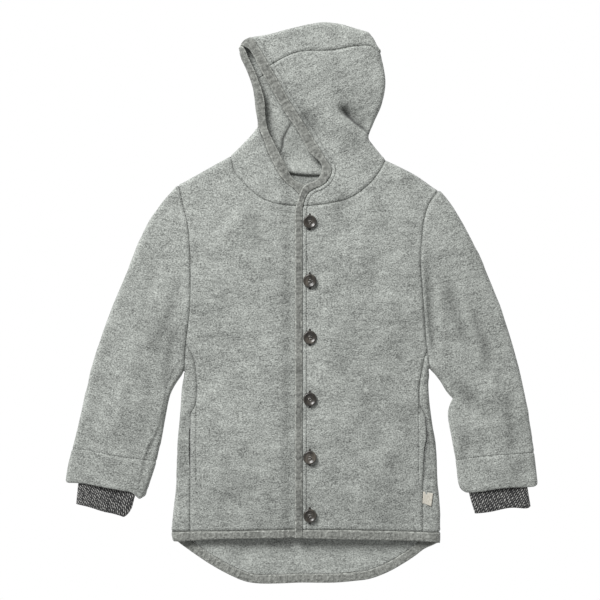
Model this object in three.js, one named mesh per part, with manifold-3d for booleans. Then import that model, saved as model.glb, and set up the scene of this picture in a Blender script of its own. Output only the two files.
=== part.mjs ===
// Child's boiled wool jacket with a hood, laid flat on its back with the fronts buttoned.
// Millimetres, +Z up, +Y towards the hood. The surface that it lies on is z = 0.
// Left and right are the wearer's.
import * as THREE from "three";
import { mergeVertices } from "three/addons/utils/BufferGeometryUtils.js";
import Module from "manifold-3d";

const wasm = await Module();
wasm.setup();

// Cloth
const WOOL = 2.2;
const BINDING = 3.2;
const BINDING_PROUD = 0.5;
const SEAM_GAP = 0.3;

// How the cloth lies: a soft fold all round the outline, and air between the two layers
const FOLD_RADIUS = 7;
const LOFT = 9;
const LOFT_REACH = 42;
const EDGE_REACH = 25;
const ROUNDING = 3;

// The right front passes under the left one: how far it drops, from which x to which, and its edge and seam
const UNDERLAP_DROP = 3.8;
const UNDERLAP_FROM = -30;
const UNDERLAP_FULL = -13;
const UNDERLAP_EDGE = 20;
const UNDERLAP_SEAM = 9;

// Trims
const HEM_BAND = 12;
const BUTTON_RADIUS = 8.75;
const BUTTON_HEIGHT = 3.2;
const BUTTON_SIDES = 20;
const BUTTON_BEVEL = 1.2;
const BUTTON_SIDE = { from: 1, to: 2.4 };
const BUTTON_DISH = { rim: 3.2, edge: 2.2, centre: 1.9 };
const BUTTON_X = 9.5;
const BUTTON_ROWS = [108, 32, -41, -121, -196, -272];
const LABEL_THICKNESS = 1;
const LABEL_CORNERS = [[156, -256], [167, -260], [169, -244], [157, -241]];
const POCKET_SLIT = 2.6;
const POCKETS = { right: { top: -138, bottom: -227 }, left: { top: -139, bottom: -231 } };

// Mesh spacing
const OUTLINE_STEP = 14;
const INNER_STEP = 18;
const SEAM_STEP = 12;
const FOLD_STEPS = 2;
const STRAIGHT_WITHIN = 0.25;
const LATTICE_MARGIN = 0.6;
const SHARPEST_CORNER = 0.3;
const FAR = 700;

// The outline of the jacket from above, anticlockwise; an open run is an end that is cut away
const OUTLINE = [
  { run: "tail", open: true, points: [[-168, -390], [179, -390]] },
  {
    run: "side left",
    points: [
      [179, -390], [179, -306], [179, -266], [176, -232], [174, -195], [172, -175], [168, -147],
      [165, -122], [164, -100], [165, -83],
    ],
  },
  { run: "sleeve left, underarm", points: [[165, -83], [169, -85], [178, -96], [187, -110], [196, -121]] },
  {
    run: "sleeve left, inner",
    points: [
      [196, -121], [193, -127], [190, -137], [190, -147], [195, -175], [200, -205], [204, -235],
      [213, -263],
    ],
  },
  { run: "sleeve left, end", open: true, points: [[213, -263], [309, -257]] },
  {
    run: "sleeve left, outer",
    points: [
      [309, -257], [306, -232], [299, -175], [285, -97], [263, -19], [232, 59], [206, 111], [188, 138],
      [179, 148], [172, 152],
    ],
  },
  { run: "shoulder left", points: [[172, 152], [148, 169], [127, 180], [108, 189]] },
  {
    run: "hood, back",
    points: [
      [108, 189], [99, 200], [91, 210], [86, 218], [92, 236], [100, 254], [106, 273], [108, 292],
      [105, 313], [102, 325], [102, 331], [98, 337], [93, 347], [86, 356],
    ],
  },
  {
    run: "hood, top",
    points: [
      [86, 356], [65, 362], [45, 367], [28, 369], [13, 367], [-8, 362], [-28, 357], [-49, 352],
      [-68, 349], [-77, 344], [-83, 335],
    ],
  },
  {
    run: "hood, mouth",
    points: [
      [-83, 335], [-82, 330], [-79, 320], [-75, 312], [-67, 292], [-62, 272], [-60, 252], [-58, 236],
      [-60, 230], [-73, 215], [-94, 194],
    ],
  },
  { run: "shoulder right", points: [[-94, 194], [-162, 156]] },
  {
    run: "sleeve right, outer",
    points: [
      [-162, 156], [-180, 137], [-198, 111], [-211, 85], [-227, 46], [-249, -6], [-267, -58],
      [-281, -110], [-293, -162], [-306, -214], [-310, -250],
    ],
  },
  { run: "sleeve right, end", open: true, points: [[-310, -250], [-211, -274]] },
  {
    run: "sleeve right, inner",
    points: [
      [-211, -274], [-202, -240], [-190, -201], [-184, -175], [-179, -147], [-175, -126], [-172, -115],
      [-166, -103], [-159, -92], [-154, -86],
    ],
  },
  {
    run: "side right",
    points: [
      [-154, -86], [-155, -95], [-157, -111], [-159, -136], [-162, -174], [-163, -205], [-165, -240],
      [-168, -266], [-170, -293], [-168, -311], [-168, -390],
    ],
  },
];

// Seams and edges, each carried on past the cloth at both ends
const SEAMS = {
  armholeLeft: [
    [200, 420], [181, 160], [175, 148], [164, 131], [158, 112], [155, 89], [153, 59], [155, 27],
    [158, -8], [161, -51], [165, -79], [167, -91], [176, -110], [180, -140], [184, -170], [188, -210],
    [192, -240], [196, -290], [200, -420],
  ],
  armholeRight: [
    [-190, 420], [-168, 166], [-161, 155], [-155, 129], [-149, 106], [-146, 72], [-145, 27],
    [-147, -12], [-151, -47], [-153, -69], [-154, -86], [-160, -105], [-168, -149], [-175, -201],
    [-183, -240], [-189, -274], [-195, -420],
  ],
  sideLeft: [
    [300, 300], [178, -44], [161, -62], [155, -85], [152, -105], [152, -125], [154, -133], [159, -141],
    [161, -155], [162, -172], [159, -187], [158, -205], [157, -225], [156, -253], [156, -293],
    [156, -420],
  ],
  sideRight: [
    [-300, 320], [-168, -34], [-151, -52], [-142, -68], [-138, -90], [-138, -120], [-140, -131],
    [-145, -140], [-146, -155], [-146, -210], [-146, -253], [-146, -420],
  ],
  neckFront: [
    [-250, 330], [-97, 197], [-94, 194], [-88, 174], [-75, 158], [-53, 139], [-28, 131], [3, 129],
    [33, 132], [60, 139], [83, 154], [100, 174], [108, 189], [111, 192], [260, 330],
  ],
  neckBack: [
    [-250, 330], [-98, 198], [-94, 194], [-75, 188], [-49, 179], [-6, 170], [29, 169], [62, 175],
    [85, 180], [108, 189], [112, 193], [260, 330],
  ],
  hemSeam: [
    [-420, -296], [-179, -294], [-103, -293], [-11, -291], [88, -292], [180, -295], [420, -298],
  ],
  hemEdge: [
    [-420, -310], [-179, -307], [-86, -303], [-11, -302], [62, -304], [114, -305], [179, -307.5],
    [420, -312],
  ],
  tailEdge: [
    [-420, -294], [-190, -298], [-171, -303], [-157, -313], [-140, -325], [-122, -337], [-99, -350],
    [-76, -360], [-58, -363], [-28, -363], [-5, -362], [42, -362], [66, -360], [88, -357], [112, -348],
    [135, -335], [147, -327], [159, -318], [170, -313], [182, -308], [192, -306], [420, -302],
  ],
  nearEdge: [
    [-115, 450], [-96, 356], [-81, 339], [-69, 332], [-57, 310], [-41, 282], [-23, 251], [-6, 226],
    [8, 200], [25, 181], [20, 165], [2, 155], [-6, 138], [-10, 122], [-10, 100], [-10, -420],
  ],
  nearSeam: [
    [-95, 450], [-74, 362], [-64, 347], [-49, 323], [-31, 291], [-14, 261], [10, 224], [29, 192],
    [38, 176], [30, 159], [8, 146], [1, 129], [0, 111], [0, 90], [0, -420],
  ],
  farEdge: [
    [-135, 450], [-92, 345], [-77, 336], [-70, 322], [-63, 307], [-57, 292], [-50, 270], [-46, 233],
    [-34, 206], [-21, 181], [-12, 165], [5, 154], [17, 137], [UNDERLAP_EDGE, 115],
    [UNDERLAP_EDGE, 90], [UNDERLAP_EDGE, -420],
  ],
  farSeam: [
    [-130, 450], [-110, 330], [-92, 300], [-78, 262], [-66, 240], [-57, 230], [-44, 197], [-27, 165],
    [-6, 146], [5, 131], [UNDERLAP_SEAM, 110], [UNDERLAP_SEAM, 90], [UNDERLAP_SEAM, -420],
  ],
  gussetSeam: [
    [-400, 120], [-60, 301], [-40, 313], [-15, 326], [3, 330], [38, 331], [70, 337], [88, 337],
    [102, 328], [125, 312], [420, 200],
  ],
  sleeveHemLeft: [
    [100, -228], [198, -231], [204, -236], [209, -242], [216, -243], [230, -242], [252, -238],
    [270, -236], [288, -236], [301, -235], [306, -233], [312, -227], [330, -224],
  ],
  sleeveHemRight: [
    [-340, -226], [-307, -230], [-286, -231], [-261, -235], [-235, -240], [-222, -243], [-217, -247],
    [-212, -251], [-207, -250], [-203, -245], [-201, -240], [-195, -238], [-100, -236],
  ],
};
const GUSSET_UNDERSIDE = [
  [-110, 282], [-60, 296], [-40, 307], [-15, 320], [3, 325], [20, 325], [34, 312], [38, 287],
  [36, 248], [33, 209], [32, 140],
];
// Corners past the hood that close the ground on either side of that line
const HOOD_CORNERS = {
  gusset: [[400, 140], [400, 500], [-110, 500]],
  right: [[-400, 140], [-400, 282]],
};

// Knit cuffs, from inside the sleeve to the free end
const CUFF = { fold: 4.6, loft: 1.2, floor: 2.5, loftReach: 21 };
const CUFFS = {
  left: {
    outline: [
      [211, -205], [217, -245], [223, -268], [227, -290], [298, -284], [296, -262], [293, -237],
      [288, -205],
    ],
    end: [[190, -277], [224, -271], [245, -267], [266, -263], [296, -262], [330, -261]],
    start: -212,
  },
  right: {
    outline: [
      [-288, -200], [-292, -232], [-294, -258], [-296, -280], [-229, -296], [-224, -268], [-218, -250],
      [-206, -205],
    ],
    end: [[-330, -250], [-294, -258], [-270, -264], [-231, -274], [-200, -280]],
    start: -212,
  },
};

// Soft folds in the top layer: height above or below it, half-width across the fold, and the way that it runs
const FOLDS = [
  { rise: -2.2, width: 17, way: [[-127, 118], [-104, 60], [-81, -6]] },
  { rise: 1.8, width: 14, way: [[-75, 118], [-53, 66]] },
  { rise: 2, width: 16, way: [[-133, 7], [-101, -71]] },
  { rise: -1.5, width: 18, way: [[-88, -118], [-70, -150]] },
  { rise: 1.8, width: 18, way: [[-38, -84], [-29, -201]] },
  { rise: 1.5, width: 12, way: [[-127, -123], [-121, -175]] },
  { rise: 2, width: 20, way: [[90, 124], [62, 59], [42, -58]] },
  { rise: 1.2, width: 16, way: [[49, -130], [52, -150]] },
  { rise: 1.6, width: 16, way: [[105, -194], [75, -279]] },
  { rise: -1.6, width: 14, way: [[134, -38], [128, -85]] },
  { rise: -2, width: 14, way: [[-161, 22], [-185, -51], [-192, -123]] },
  { rise: 1.5, width: 14, way: [[-266, -140], [-274, -190]] },
  { rise: -2, width: 11, way: [[160, 46], [168, -45]] },
  { rise: -2.4, width: 12, way: [[203, -133], [231, -103], [240, -71]] },
  { rise: -1.5, width: 14, way: [[227, -195], [230, -210]] },
  { rise: -1.5, width: 20, way: [[12, 245], [20, 225]] },
  { rise: -3, width: 8, way: [[56, 252], [66, 243], [84, 228]] },
  { rise: 1.2, width: 9, way: [[58, 232], [80, 212]] },
];
// Free edges of the top layer that sag towards the layer below
const SAGS = [
  { drop: 8, width: 60, way: [[-140, -303], [-11, -302], [150, -305]] },
  { drop: 6, width: 30, way: [[-64, 322], [-41, 282], [-6, 226], [20, 186]] },
];

const vector = ([x, y]) => new THREE.Vector2(x, y);

// A smooth line through the points, sampled at even steps.
function smooth(points, step) {
  const curve = new THREE.CatmullRomCurve3(points.map(([x, y]) => new THREE.Vector3(x, y, 0)));
  const count = Math.max(1, Math.round(curve.getLength() / step));
  return curve.getSpacedPoints(count).map((p) => new THREE.Vector2(p.x, p.y));
}

function distanceToSegment(p, a, b) {
  const way = b.clone().sub(a);
  const along = THREE.MathUtils.clamp(p.clone().sub(a).dot(way) / way.lengthSq(), 0, 1);
  return p.distanceTo(a.clone().addScaledVector(way, along));
}

function distanceToLine(p, line) {
  let least = Infinity;
  for (let i = 0; i + 1 < line.length; i++) {
    least = Math.min(least, distanceToSegment(p, line[i], line[i + 1]));
  }
  return least;
}

// Leaves out the points that the line stays straight through.
function straighten(line) {
  const kept = [line[0]];
  for (let i = 1; i + 1 < line.length; i++) {
    if (distanceToSegment(line[i], kept.at(-1), line[i + 1]) > STRAIGHT_WITHIN) kept.push(line[i]);
  }
  return [...kept, line.at(-1)];
}

const runs = OUTLINE.map(({ points, open }) => ({ open, line: smooth(points, OUTLINE_STEP) }));
const closedRuns = runs.filter(({ open }) => !open).map(({ line }) => line);
const folds = FOLDS.map(({ way, ...fold }) => ({ ...fold, way: way.map(vector) }));
const sags = SAGS.map(({ way, ...sag }) => ({ ...sag, way: way.map(vector) }));

const bell = (distance, width) => Math.exp(-((distance / width) ** 2));

// Height of the top layer's outer face over the point.
function topHeight(p) {
  let sum = 0;
  for (const line of closedRuns) sum += Math.max(distanceToLine(p, line), 1) ** -ROUNDING;
  const inside = Math.max(sum ** (-1 / ROUNDING) - FOLD_RADIUS, 0);
  let relief = 0;
  for (const { rise, width, way } of folds) relief += rise * bell(distanceToLine(p, way), width);
  for (const { drop, width, way } of sags) relief -= drop * bell(distanceToLine(p, way), width);
  return 2 * FOLD_RADIUS + LOFT * (1 - bell(inside, LOFT_REACH)) + relief * (1 - bell(inside, EDGE_REACH));
}

// The right front passes under the left one, so there its top layer lies lower.
function underHeight(p) {
  return topHeight(p) - UNDERLAP_DROP * THREE.MathUtils.smoothstep(p.x, UNDERLAP_FROM, UNDERLAP_FULL);
}

// A triangle with its circumcircle.
function circled(points, a, b, c) {
  const origin = points[a];
  const p = points[b].clone().sub(origin);
  const q = points[c].clone().sub(origin);
  const twice = 2 * p.cross(q);
  const centre = new THREE.Vector2(
    (q.y * p.lengthSq() - p.y * q.lengthSq()) / twice,
    (p.x * q.lengthSq() - q.x * p.lengthSq()) / twice,
  );
  return { corners: [a, b, c], radiusSquared: centre.lengthSq(), centre: centre.add(origin) };
}

// Delaunay triangles of the points, one point added at a time.
function delaunay(points) {
  const count = points.length;
  const frame = [[-FAR, -FAR], [FAR, -FAR], [0, FAR]].map(([x, y]) => vector([4 * x, 4 * y]));
  const all = [...points, ...frame];
  let triangles = [circled(all, count, count + 1, count + 2)];
  for (let i = 0; i < count; i++) {
    const rim = new Map();
    const kept = [];
    for (const triangle of triangles) {
      if (triangle.centre.distanceToSquared(all[i]) >= triangle.radiusSquared) {
        kept.push(triangle);
        continue;
      }
      const [a, b, c] = triangle.corners;
      for (const [from, to] of [[a, b], [b, c], [c, a]]) {
        if (!rim.delete(`${to} ${from}`)) rim.set(`${from} ${to}`, [from, to]);
      }
    }
    triangles = kept;
    for (const [from, to] of rim.values()) triangles.push(circled(all, from, to, i));
  }
  return triangles.map(({ corners }) => corners).filter((corners) => Math.max(...corners) < count);
}

function isInside(p, polygon) {
  let inside = false;
  for (let i = 0, j = polygon.length - 1; i < polygon.length; j = i++) {
    const a = polygon[i];
    const b = polygon[j];
    if (a.y > p.y !== b.y > p.y && p.x < ((b.x - a.x) * (p.y - a.y)) / (b.y - a.y) + a.x) inside = !inside;
  }
  return inside;
}

// Unit vectors that point into an anticlockwise outline, one at each of its points.
function inwards(outline) {
  return outline.map((p, i) => {
    const before = outline.at(i - 1);
    const after = outline[(i + 1) % outline.length];
    const arrive = p.clone().sub(before).normalize();
    const leave = after.clone().sub(p).normalize();
    return new THREE.Vector2(-arrive.y - leave.y, arrive.x + leave.x).normalize();
  });
}

// Triangles over the inside of the ring: its own points first, then a lattice of points within it.
function lattice(ring, step) {
  const points = [...ring];
  const box = new THREE.Box2().setFromPoints(ring);
  const closed = [...ring, ring[0]];
  const rowStep = step * Math.sin(Math.PI / 3);
  for (let row = 0; box.min.y + row * rowStep < box.max.y; row++) {
    const start = box.min.x + (row % 2 ? step / 2 : 0);
    for (let x = start; x < box.max.x; x += step) {
      const p = new THREE.Vector2(x, box.min.y + row * rowStep);
      if (isInside(p, ring) && distanceToLine(p, closed) > LATTICE_MARGIN * step) points.push(p);
    }
  }
  const triangles = delaunay(points).filter(([a, b, c]) => {
    const centre = points[a].clone().add(points[b]).add(points[c]).divideScalar(3);
    return isInside(centre, ring);
  });
  return { points, triangles };
}

function solidOf(vertices, triangles) {
  return new wasm.Manifold(
    new wasm.Mesh({
      numProp: 3,
      vertProperties: new Float32Array(vertices.flat()),
      triVerts: new Uint32Array(triangles.flat()),
    }),
  );
}

// A hollow pillow of cloth: a flat layer on the floor, a top layer, and a round fold all round the outline.
// It gives a function that makes the wall: lift moves the outer face out, and thickness is the wall's.
function pillow({ outline, fold, height, step, floor = 0 }) {
  const inward = inwards(outline);
  const ring = outline.map((p, i) => p.clone().addScaledVector(inward[i], fold));
  const top = lattice(ring, step);
  const bottom = THREE.ShapeUtils.triangulateShape(ring, []);
  const levels = 2 * FOLD_STEPS;
  return ({ lift = 0, thickness = WOOL, heightAt = height }) => {
    const vertices = [];
    const triangles = [];
    const face = (offset, under, outward) => {
      const first = vertices.length;
      const add = (corners) => triangles.push(outward ? corners : [...corners].reverse());
      for (let level = 0; level < levels; level++) {
        const angle = (level / levels - 0.5) * Math.PI;
        const out = (fold + offset) * Math.cos(angle);
        const up = (fold + (angle < 0 ? under : offset)) * Math.sin(angle);
        outline.forEach((p, i) => {
          const at = p.clone().addScaledVector(inward[i], fold - out);
          vertices.push([at.x, at.y, floor + fold + up]);
        });
      }
      top.points.forEach((p, i) => {
        const z = i < ring.length ? 2 * fold : heightAt(p);
        vertices.push([p.x, p.y, floor + (heightAt === height ? z : Math.min(z, heightAt(p))) + offset]);
      });
      for (let level = 0; level < levels; level++) {
        for (let i = 0; i < outline.length; i++) {
          const next = (i + 1) % outline.length;
          const low = first + level * outline.length;
          const high = low + outline.length;
          add([low + i, low + next, high + next]);
          add([low + i, high + next, high + i]);
        }
      }
      const roof = first + levels * outline.length;
      for (const [a, b, c] of top.triangles) add([roof + a, roof + b, roof + c]);
      for (const [a, b, c] of bottom) add([first + c, first + b, first + a]);
    };
    face(lift, 0, true);
    face(lift - thickness, -thickness, false);
    return solidOf(vertices, triangles);
  };
}

// A closed region's outline, moved in by half a seam gap.
function seamed(points) {
  const turned = THREE.ShapeUtils.isClockWise(points) ? [...points].reverse() : points;
  const inward = inwards(turned);
  return turned.map((p, i) => {
    const leave = turned[(i + 1) % turned.length].clone().sub(p).normalize();
    const across = Math.max(Math.abs(leave.cross(inward[i])), SHARPEST_CORNER);
    return p.clone().addScaledVector(inward[i], SEAM_GAP / 2 / across);
  });
}

function column(points, low, high) {
  const shape = new THREE.Shape(points);
  const geometry = new THREE.ExtrudeGeometry(shape, { depth: high - low, bevelEnabled: false });
  geometry.translate(0, 0, low);
  return fromGeometry(geometry);
}

function fromGeometry(geometry) {
  geometry.deleteAttribute("normal");
  geometry.deleteAttribute("uv");
  const merged = mergeVertices(geometry, 1e-4);
  return new wasm.Manifold(
    new wasm.Mesh({
      numProp: 3,
      vertProperties: merged.attributes.position.array,
      triVerts: new Uint32Array(merged.index.array),
    }),
  );
}

const seams = Object.fromEntries(
  Object.entries(SEAMS).map(([name, points]) => [name, straighten(smooth(points, SEAM_STEP))]),
);
seams.tailSeam = seams.tailEdge.map((p, i, line) => {
  const way = line[Math.min(i + 1, line.length - 1)].clone().sub(line[Math.max(i - 1, 0)]).normalize();
  return new THREE.Vector2(p.x - way.y * HEM_BAND, p.y + way.x * HEM_BAND);
});

// All that lies on one side of a seam: dx, dy is the way that the region goes on from it.
function beside(line, dx, dy) {
  const away = new THREE.Vector2(dx, dy).multiplyScalar(FAR);
  return seamed([...line, line.at(-1).clone().add(away), line[0].clone().add(away)]);
}
const leftOf = (name) => beside(seams[name], -1, 0);
const rightOf = (name) => beside(seams[name], 1, 0);
const above = (name) => beside(seams[name], 0, 1);
const below = (name) => beside(seams[name], 0, -1);
const gussetSide = seamed([...GUSSET_UNDERSIDE, ...HOOD_CORNERS.gusset].map(vector));
const rightHoodSide = seamed([...GUSSET_UNDERSIDE, ...HOOD_CORNERS.right].map(vector));

// Layers: the parting between the top and the bottom one is at the outermost line of the fold
const SKY = 80;
const GROUND = -10;
const TOP = [FOLD_RADIUS + SEAM_GAP / 2, SKY];
const BOTTOM = [GROUND, FOLD_RADIUS - SEAM_GAP / 2];
const BOTH = [GROUND, SKY];

// The space that lies in all the regions, between two heights
function block([low, high], ...regions) {
  return regions.map((points) => column(points, low, high)).reduce((all, next) => all.intersect(next));
}

const largest = (solid) => solid.decompose().sort((a, b) => b.volume() - a.volume())[0];
const cut = (cloth, ...blocks) => largest(cloth.intersect(blocks.reduce((all, next) => all.add(next))));

const jacket = new THREE.Group();

function add(name, solid, material) {
  const mesh = solid.getMesh();
  const geometry = new THREE.BufferGeometry();
  geometry.setAttribute("position", new THREE.BufferAttribute(new Float32Array(mesh.vertProperties), 3));
  geometry.setIndex(new THREE.BufferAttribute(new Uint32Array(mesh.triVerts), 1));
  geometry.computeVertexNormals();
  const piece = new THREE.Mesh(geometry, material);
  piece.name = name;
  jacket.add(piece);
}

const wool = new THREE.MeshStandardMaterial({ color: 0x9b9c97, roughness: 0.95, metalness: 0 });
const jersey = new THREE.MeshStandardMaterial({ color: 0x8f908c, roughness: 0.95, metalness: 0 });
const ribKnit = new THREE.MeshStandardMaterial({ color: 0x55555a, roughness: 0.95, metalness: 0 });
const horn = new THREE.MeshStandardMaterial({ color: 0x4a423d, roughness: 0.4, metalness: 0 });
const tape = new THREE.MeshStandardMaterial({ color: 0xd9d3c4, roughness: 0.85, metalness: 0 });

const outline = runs.flatMap(({ line }) => line.slice(0, -1));
const cloth = pillow({ outline, fold: FOLD_RADIUS, height: topHeight, step: INNER_STEP });
const over = cloth({});
const under = cloth({ heightAt: underHeight });
const bound = { lift: BINDING_PROUD, thickness: BINDING };
const overBinding = cloth(bound);
const underBinding = cloth({ ...bound, heightAt: underHeight });

// A leaf-shaped slit along a side seam, where the pocket opens
function pocketSlit(line, { top, bottom }) {
  const stretch = line.filter((p) => p.y < top && p.y > bottom);
  const share = (p) => Math.sin((Math.PI * (p.y - bottom)) / (top - bottom));
  const lip = (side) => stretch.map((p) => new THREE.Vector2(p.x + (side * POCKET_SLIT * share(p)) / 2, p.y));
  return column([...lip(-1), ...lip(1).reverse()], ...BOTH);
}
const slits = {
  left: pocketSlit(smooth(SEAMS.sideLeft, SEAM_STEP), POCKETS.left),
  right: pocketSlit(smooth(SEAMS.sideRight, SEAM_STEP), POCKETS.right),
};

function makeBody() {
  const armholes = [leftOf("armholeLeft"), rightOf("armholeRight")];
  const sideLeft = block(BOTH, rightOf("sideLeft"), leftOf("armholeLeft"), above("hemSeam"));
  const sideRight = block(BOTH, leftOf("sideRight"), rightOf("armholeRight"), above("hemSeam"));
  const backPanel = block(BOTTOM, below("neckBack"), ...armholes, above("tailSeam"));
  const back = cut(over, backPanel, sideLeft, sideRight);
  add("back", back.subtract(slits.left).subtract(slits.right), wool);

  const frontLeft = cut(
    over,
    block(TOP, rightOf("nearSeam"), below("neckFront"), ...armholes, leftOf("sideLeft"), above("hemSeam")),
  );
  add("front_left", frontLeft.subtract(slits.left), wool);
  const frontRight = cut(
    under,
    block(TOP, leftOf("farSeam"), below("neckFront"), ...armholes, rightOf("sideRight"), above("hemSeam")),
  );
  add("front_right", frontRight.subtract(slits.right), wool);
}

function makeSleeves() {
  add("sleeve_left", cut(over, block(BOTH, rightOf("armholeLeft"), above("sleeveHemLeft"))), wool);
  add("sleeve_right", cut(over, block(BOTH, leftOf("armholeRight"), above("sleeveHemRight"))), wool);
}

function makeHood() {
  add("hood_left", cut(over, block(TOP, rightOf("nearSeam"), above("neckFront"), below("gussetSeam"))), wool);
  const rightSide = cut(
    under,
    block(BOTTOM, above("neckBack"), rightHoodSide),
    block(TOP, leftOf("farSeam"), above("neckFront")),
    block(BOTH, leftOf("farSeam"), above("neckBack")),
  );
  add("hood_right", rightSide, wool);
  const centre = cut(
    over,
    block(BOTH, rightOf("nearSeam"), above("gussetSeam")),
    block(BOTTOM, above("neckBack"), gussetSide),
  );
  add("hood_centre", centre, wool);
}

function makeBindings() {
  const near = block(TOP, rightOf("nearEdge"), leftOf("nearSeam"), above("hemEdge"));
  add("binding_left", cut(overBinding, near), jersey);
  const far = block(TOP, leftOf("farEdge"), rightOf("farSeam"), above("hemEdge"));
  add("binding_right", cut(underBinding, far), jersey);
  const hemLeft = block(TOP, rightOf("nearSeam"), leftOf("armholeLeft"), below("hemSeam"), above("hemEdge"));
  add("hem_left", cut(overBinding, hemLeft), jersey);
  const hemRight = block(TOP, leftOf("farSeam"), rightOf("armholeRight"), below("hemSeam"), above("hemEdge"));
  add("hem_right", cut(underBinding, hemRight), jersey);
  const tail = block(BOTTOM, below("tailSeam"), below("hemSeam"), above("tailEdge"));
  add("hem_back", cut(overBinding, tail), jersey);
}

function makeCuffs() {
  for (const [side, { outline: points, end, start }] of Object.entries(CUFFS)) {
    const ring = [];
    points.forEach((point, i) => {
      const next = points[(i + 1) % points.length];
      ring.push(...smooth([point, next], OUTLINE_STEP).slice(0, -1));
    });
    const line = ring.concat(ring[0]);
    const height = (p) => {
      const inside = Math.max(distanceToLine(p, line) - CUFF.fold, 0);
      return 2 * CUFF.fold + CUFF.loft * (1 - bell(inside, CUFF.loftReach));
    };
    const tube = pillow({ outline: ring, fold: CUFF.fold, height, step: INNER_STEP, floor: CUFF.floor });
    const reach = beside(smooth(end, SEAM_STEP), 0, 1);
    const belowStart = [[-FAR, start], [FAR, start], [FAR, -FAR], [-FAR, -FAR]].map(vector);
    add(`cuff_${side}`, cut(tube({}), block(BOTH, reach, belowStart)), ribKnit);
  }
}

function makeButtons() {
  const profile = [
    [0, 0],
    [BUTTON_RADIUS - BUTTON_BEVEL, 0],
    [BUTTON_RADIUS, BUTTON_SIDE.from],
    [BUTTON_RADIUS, BUTTON_SIDE.to],
    [BUTTON_RADIUS - BUTTON_BEVEL, BUTTON_HEIGHT],
    [BUTTON_RADIUS - BUTTON_DISH.rim, BUTTON_DISH.edge],
    [0, BUTTON_DISH.centre],
  ];
  BUTTON_ROWS.forEach((y, i) => {
    const disc = new THREE.LatheGeometry(profile.map(vector), BUTTON_SIDES);
    disc.rotateX(Math.PI / 2);
    let seat = 0;
    for (let turn = 0; turn < BUTTON_SIDES; turn++) {
      const angle = (2 * Math.PI * turn) / BUTTON_SIDES;
      const rim = new THREE.Vector2(Math.cos(angle), Math.sin(angle)).multiplyScalar(BUTTON_RADIUS);
      seat = Math.max(seat, topHeight(rim.add(new THREE.Vector2(BUTTON_X, y))));
    }
    disc.translate(BUTTON_X, y, seat + SEAM_GAP);
    add(`button_${i + 1}`, fromGeometry(disc), horn);
  });
}

function makeLabel() {
  const lifted = cloth({ lift: SEAM_GAP + LABEL_THICKNESS, thickness: LABEL_THICKNESS });
  add("label", cut(lifted, column(LABEL_CORNERS.map(vector), ...TOP)), tape);
}

makeBody();
makeSleeves();
makeHood();
makeBindings();
makeCuffs();
makeButtons();
makeLabel();

export default jacket;
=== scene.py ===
# Child's boiled wool jacket with a hood, laid flat on a pale floor and seen from straight above.
# The cloth is one fine skin over the frame's form, cut into panels along its seams. Sizes are in millimetres
# until a mesh is made; left and right are the wearer's.
import math

import bpy
import numpy as np
from mathutils import Matrix, Vector
from mathutils.geometry import delaunay_2d_cdt


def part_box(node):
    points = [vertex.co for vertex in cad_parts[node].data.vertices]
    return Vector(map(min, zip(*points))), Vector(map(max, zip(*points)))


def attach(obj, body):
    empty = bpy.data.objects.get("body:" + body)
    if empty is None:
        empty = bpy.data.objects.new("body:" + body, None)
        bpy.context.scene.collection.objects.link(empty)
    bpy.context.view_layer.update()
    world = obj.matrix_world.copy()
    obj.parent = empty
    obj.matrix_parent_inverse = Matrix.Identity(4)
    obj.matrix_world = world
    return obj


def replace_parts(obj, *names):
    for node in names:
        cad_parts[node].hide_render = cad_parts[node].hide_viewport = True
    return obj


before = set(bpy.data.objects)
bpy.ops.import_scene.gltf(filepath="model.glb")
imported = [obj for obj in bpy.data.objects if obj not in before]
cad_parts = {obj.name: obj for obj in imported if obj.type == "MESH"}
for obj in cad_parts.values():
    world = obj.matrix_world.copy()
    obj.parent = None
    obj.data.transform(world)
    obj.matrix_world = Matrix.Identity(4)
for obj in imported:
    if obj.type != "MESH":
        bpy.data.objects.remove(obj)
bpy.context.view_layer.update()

MM = 0.001

# Cloth
WOOL = 2.2
BINDING = 3.2
BINDING_PROUD = 0.5
BINDING_CROWN = 0.9
BINDING_SUNK = 0.5
# Where the bands' painted highlights lie: how far in from the free edge and from the seam
EDGE_HIGHLIGHT_INSET = 0.8
SEAM_HIGHLIGHT_INSET = 0.9
TAIL_BAND = 12
HEM_PROUD = 0.4
HEM_DRAWN_IN = 0.9
STITCH_INSET = 5.5
STITCH_LENGTH = 3.2
POCKET_SLIT = 2.6
POCKETS = {"left": (-139, -231), "right": (-138, -227)}
FAR_AWAY = 30

# How the cloth lies, as in the frame
FOLD_RADIUS = 7
LOFT = 9
LOFT_REACH = 42
EDGE_REACH = 25
UNDERLAP_DROP = 3.8
UNDERLAP_FROM = -30
UNDERLAP_FULL = -13
UNDERLAP_EDGE = 20
UNDERLAP_SEAM = 9

# Buttons: top and underside heights by the distance from the middle, rings of mesh points
BUTTON_X = 9.5
BUTTON_ROWS = [108, 32, -41, -121, -196, -272]
BUTTON_TURNS = [8, -21, 14, 33, -6, 19]
BUTTON_TILTS = [5, -4, 6, 3, -5, 4]
BUTTON_RINGS = [0.8, 2.2, 3.4, 4.4, 5, 5.5, 6, 6.4, 6.8, 7.1, 7.4, 7.7, 8, 8.3, 8.5, 8.65, 8.75]
BUTTON_TOP = [
    (0, 1.3), (3.4, 1.35), (4.4, 1.6), (5, 1.85), (5.5, 2.12), (6, 2.42), (6.4, 2.66), (6.8, 2.88),
    (7.1, 3.02), (7.4, 3.1), (7.7, 3.05), (8, 2.9), (8.3, 2.65), (8.5, 2.35), (8.65, 2.05), (8.75, 1.8)]
BUTTON_UNDERSIDE = [(0, 0), (7.7, 0), (8.3, 0.3), (8.5, 0.6), (8.65, 1), (8.75, 1.5)]
BUTTON_HOLE = 0.85
BUTTON_HOLES_APART = 3.2
BUTTON_CLEAR = 0.2
THREAD_RADIUS = 0.4
THREAD_LIFT = 0.45
THREAD_DIP = 1.5
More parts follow.
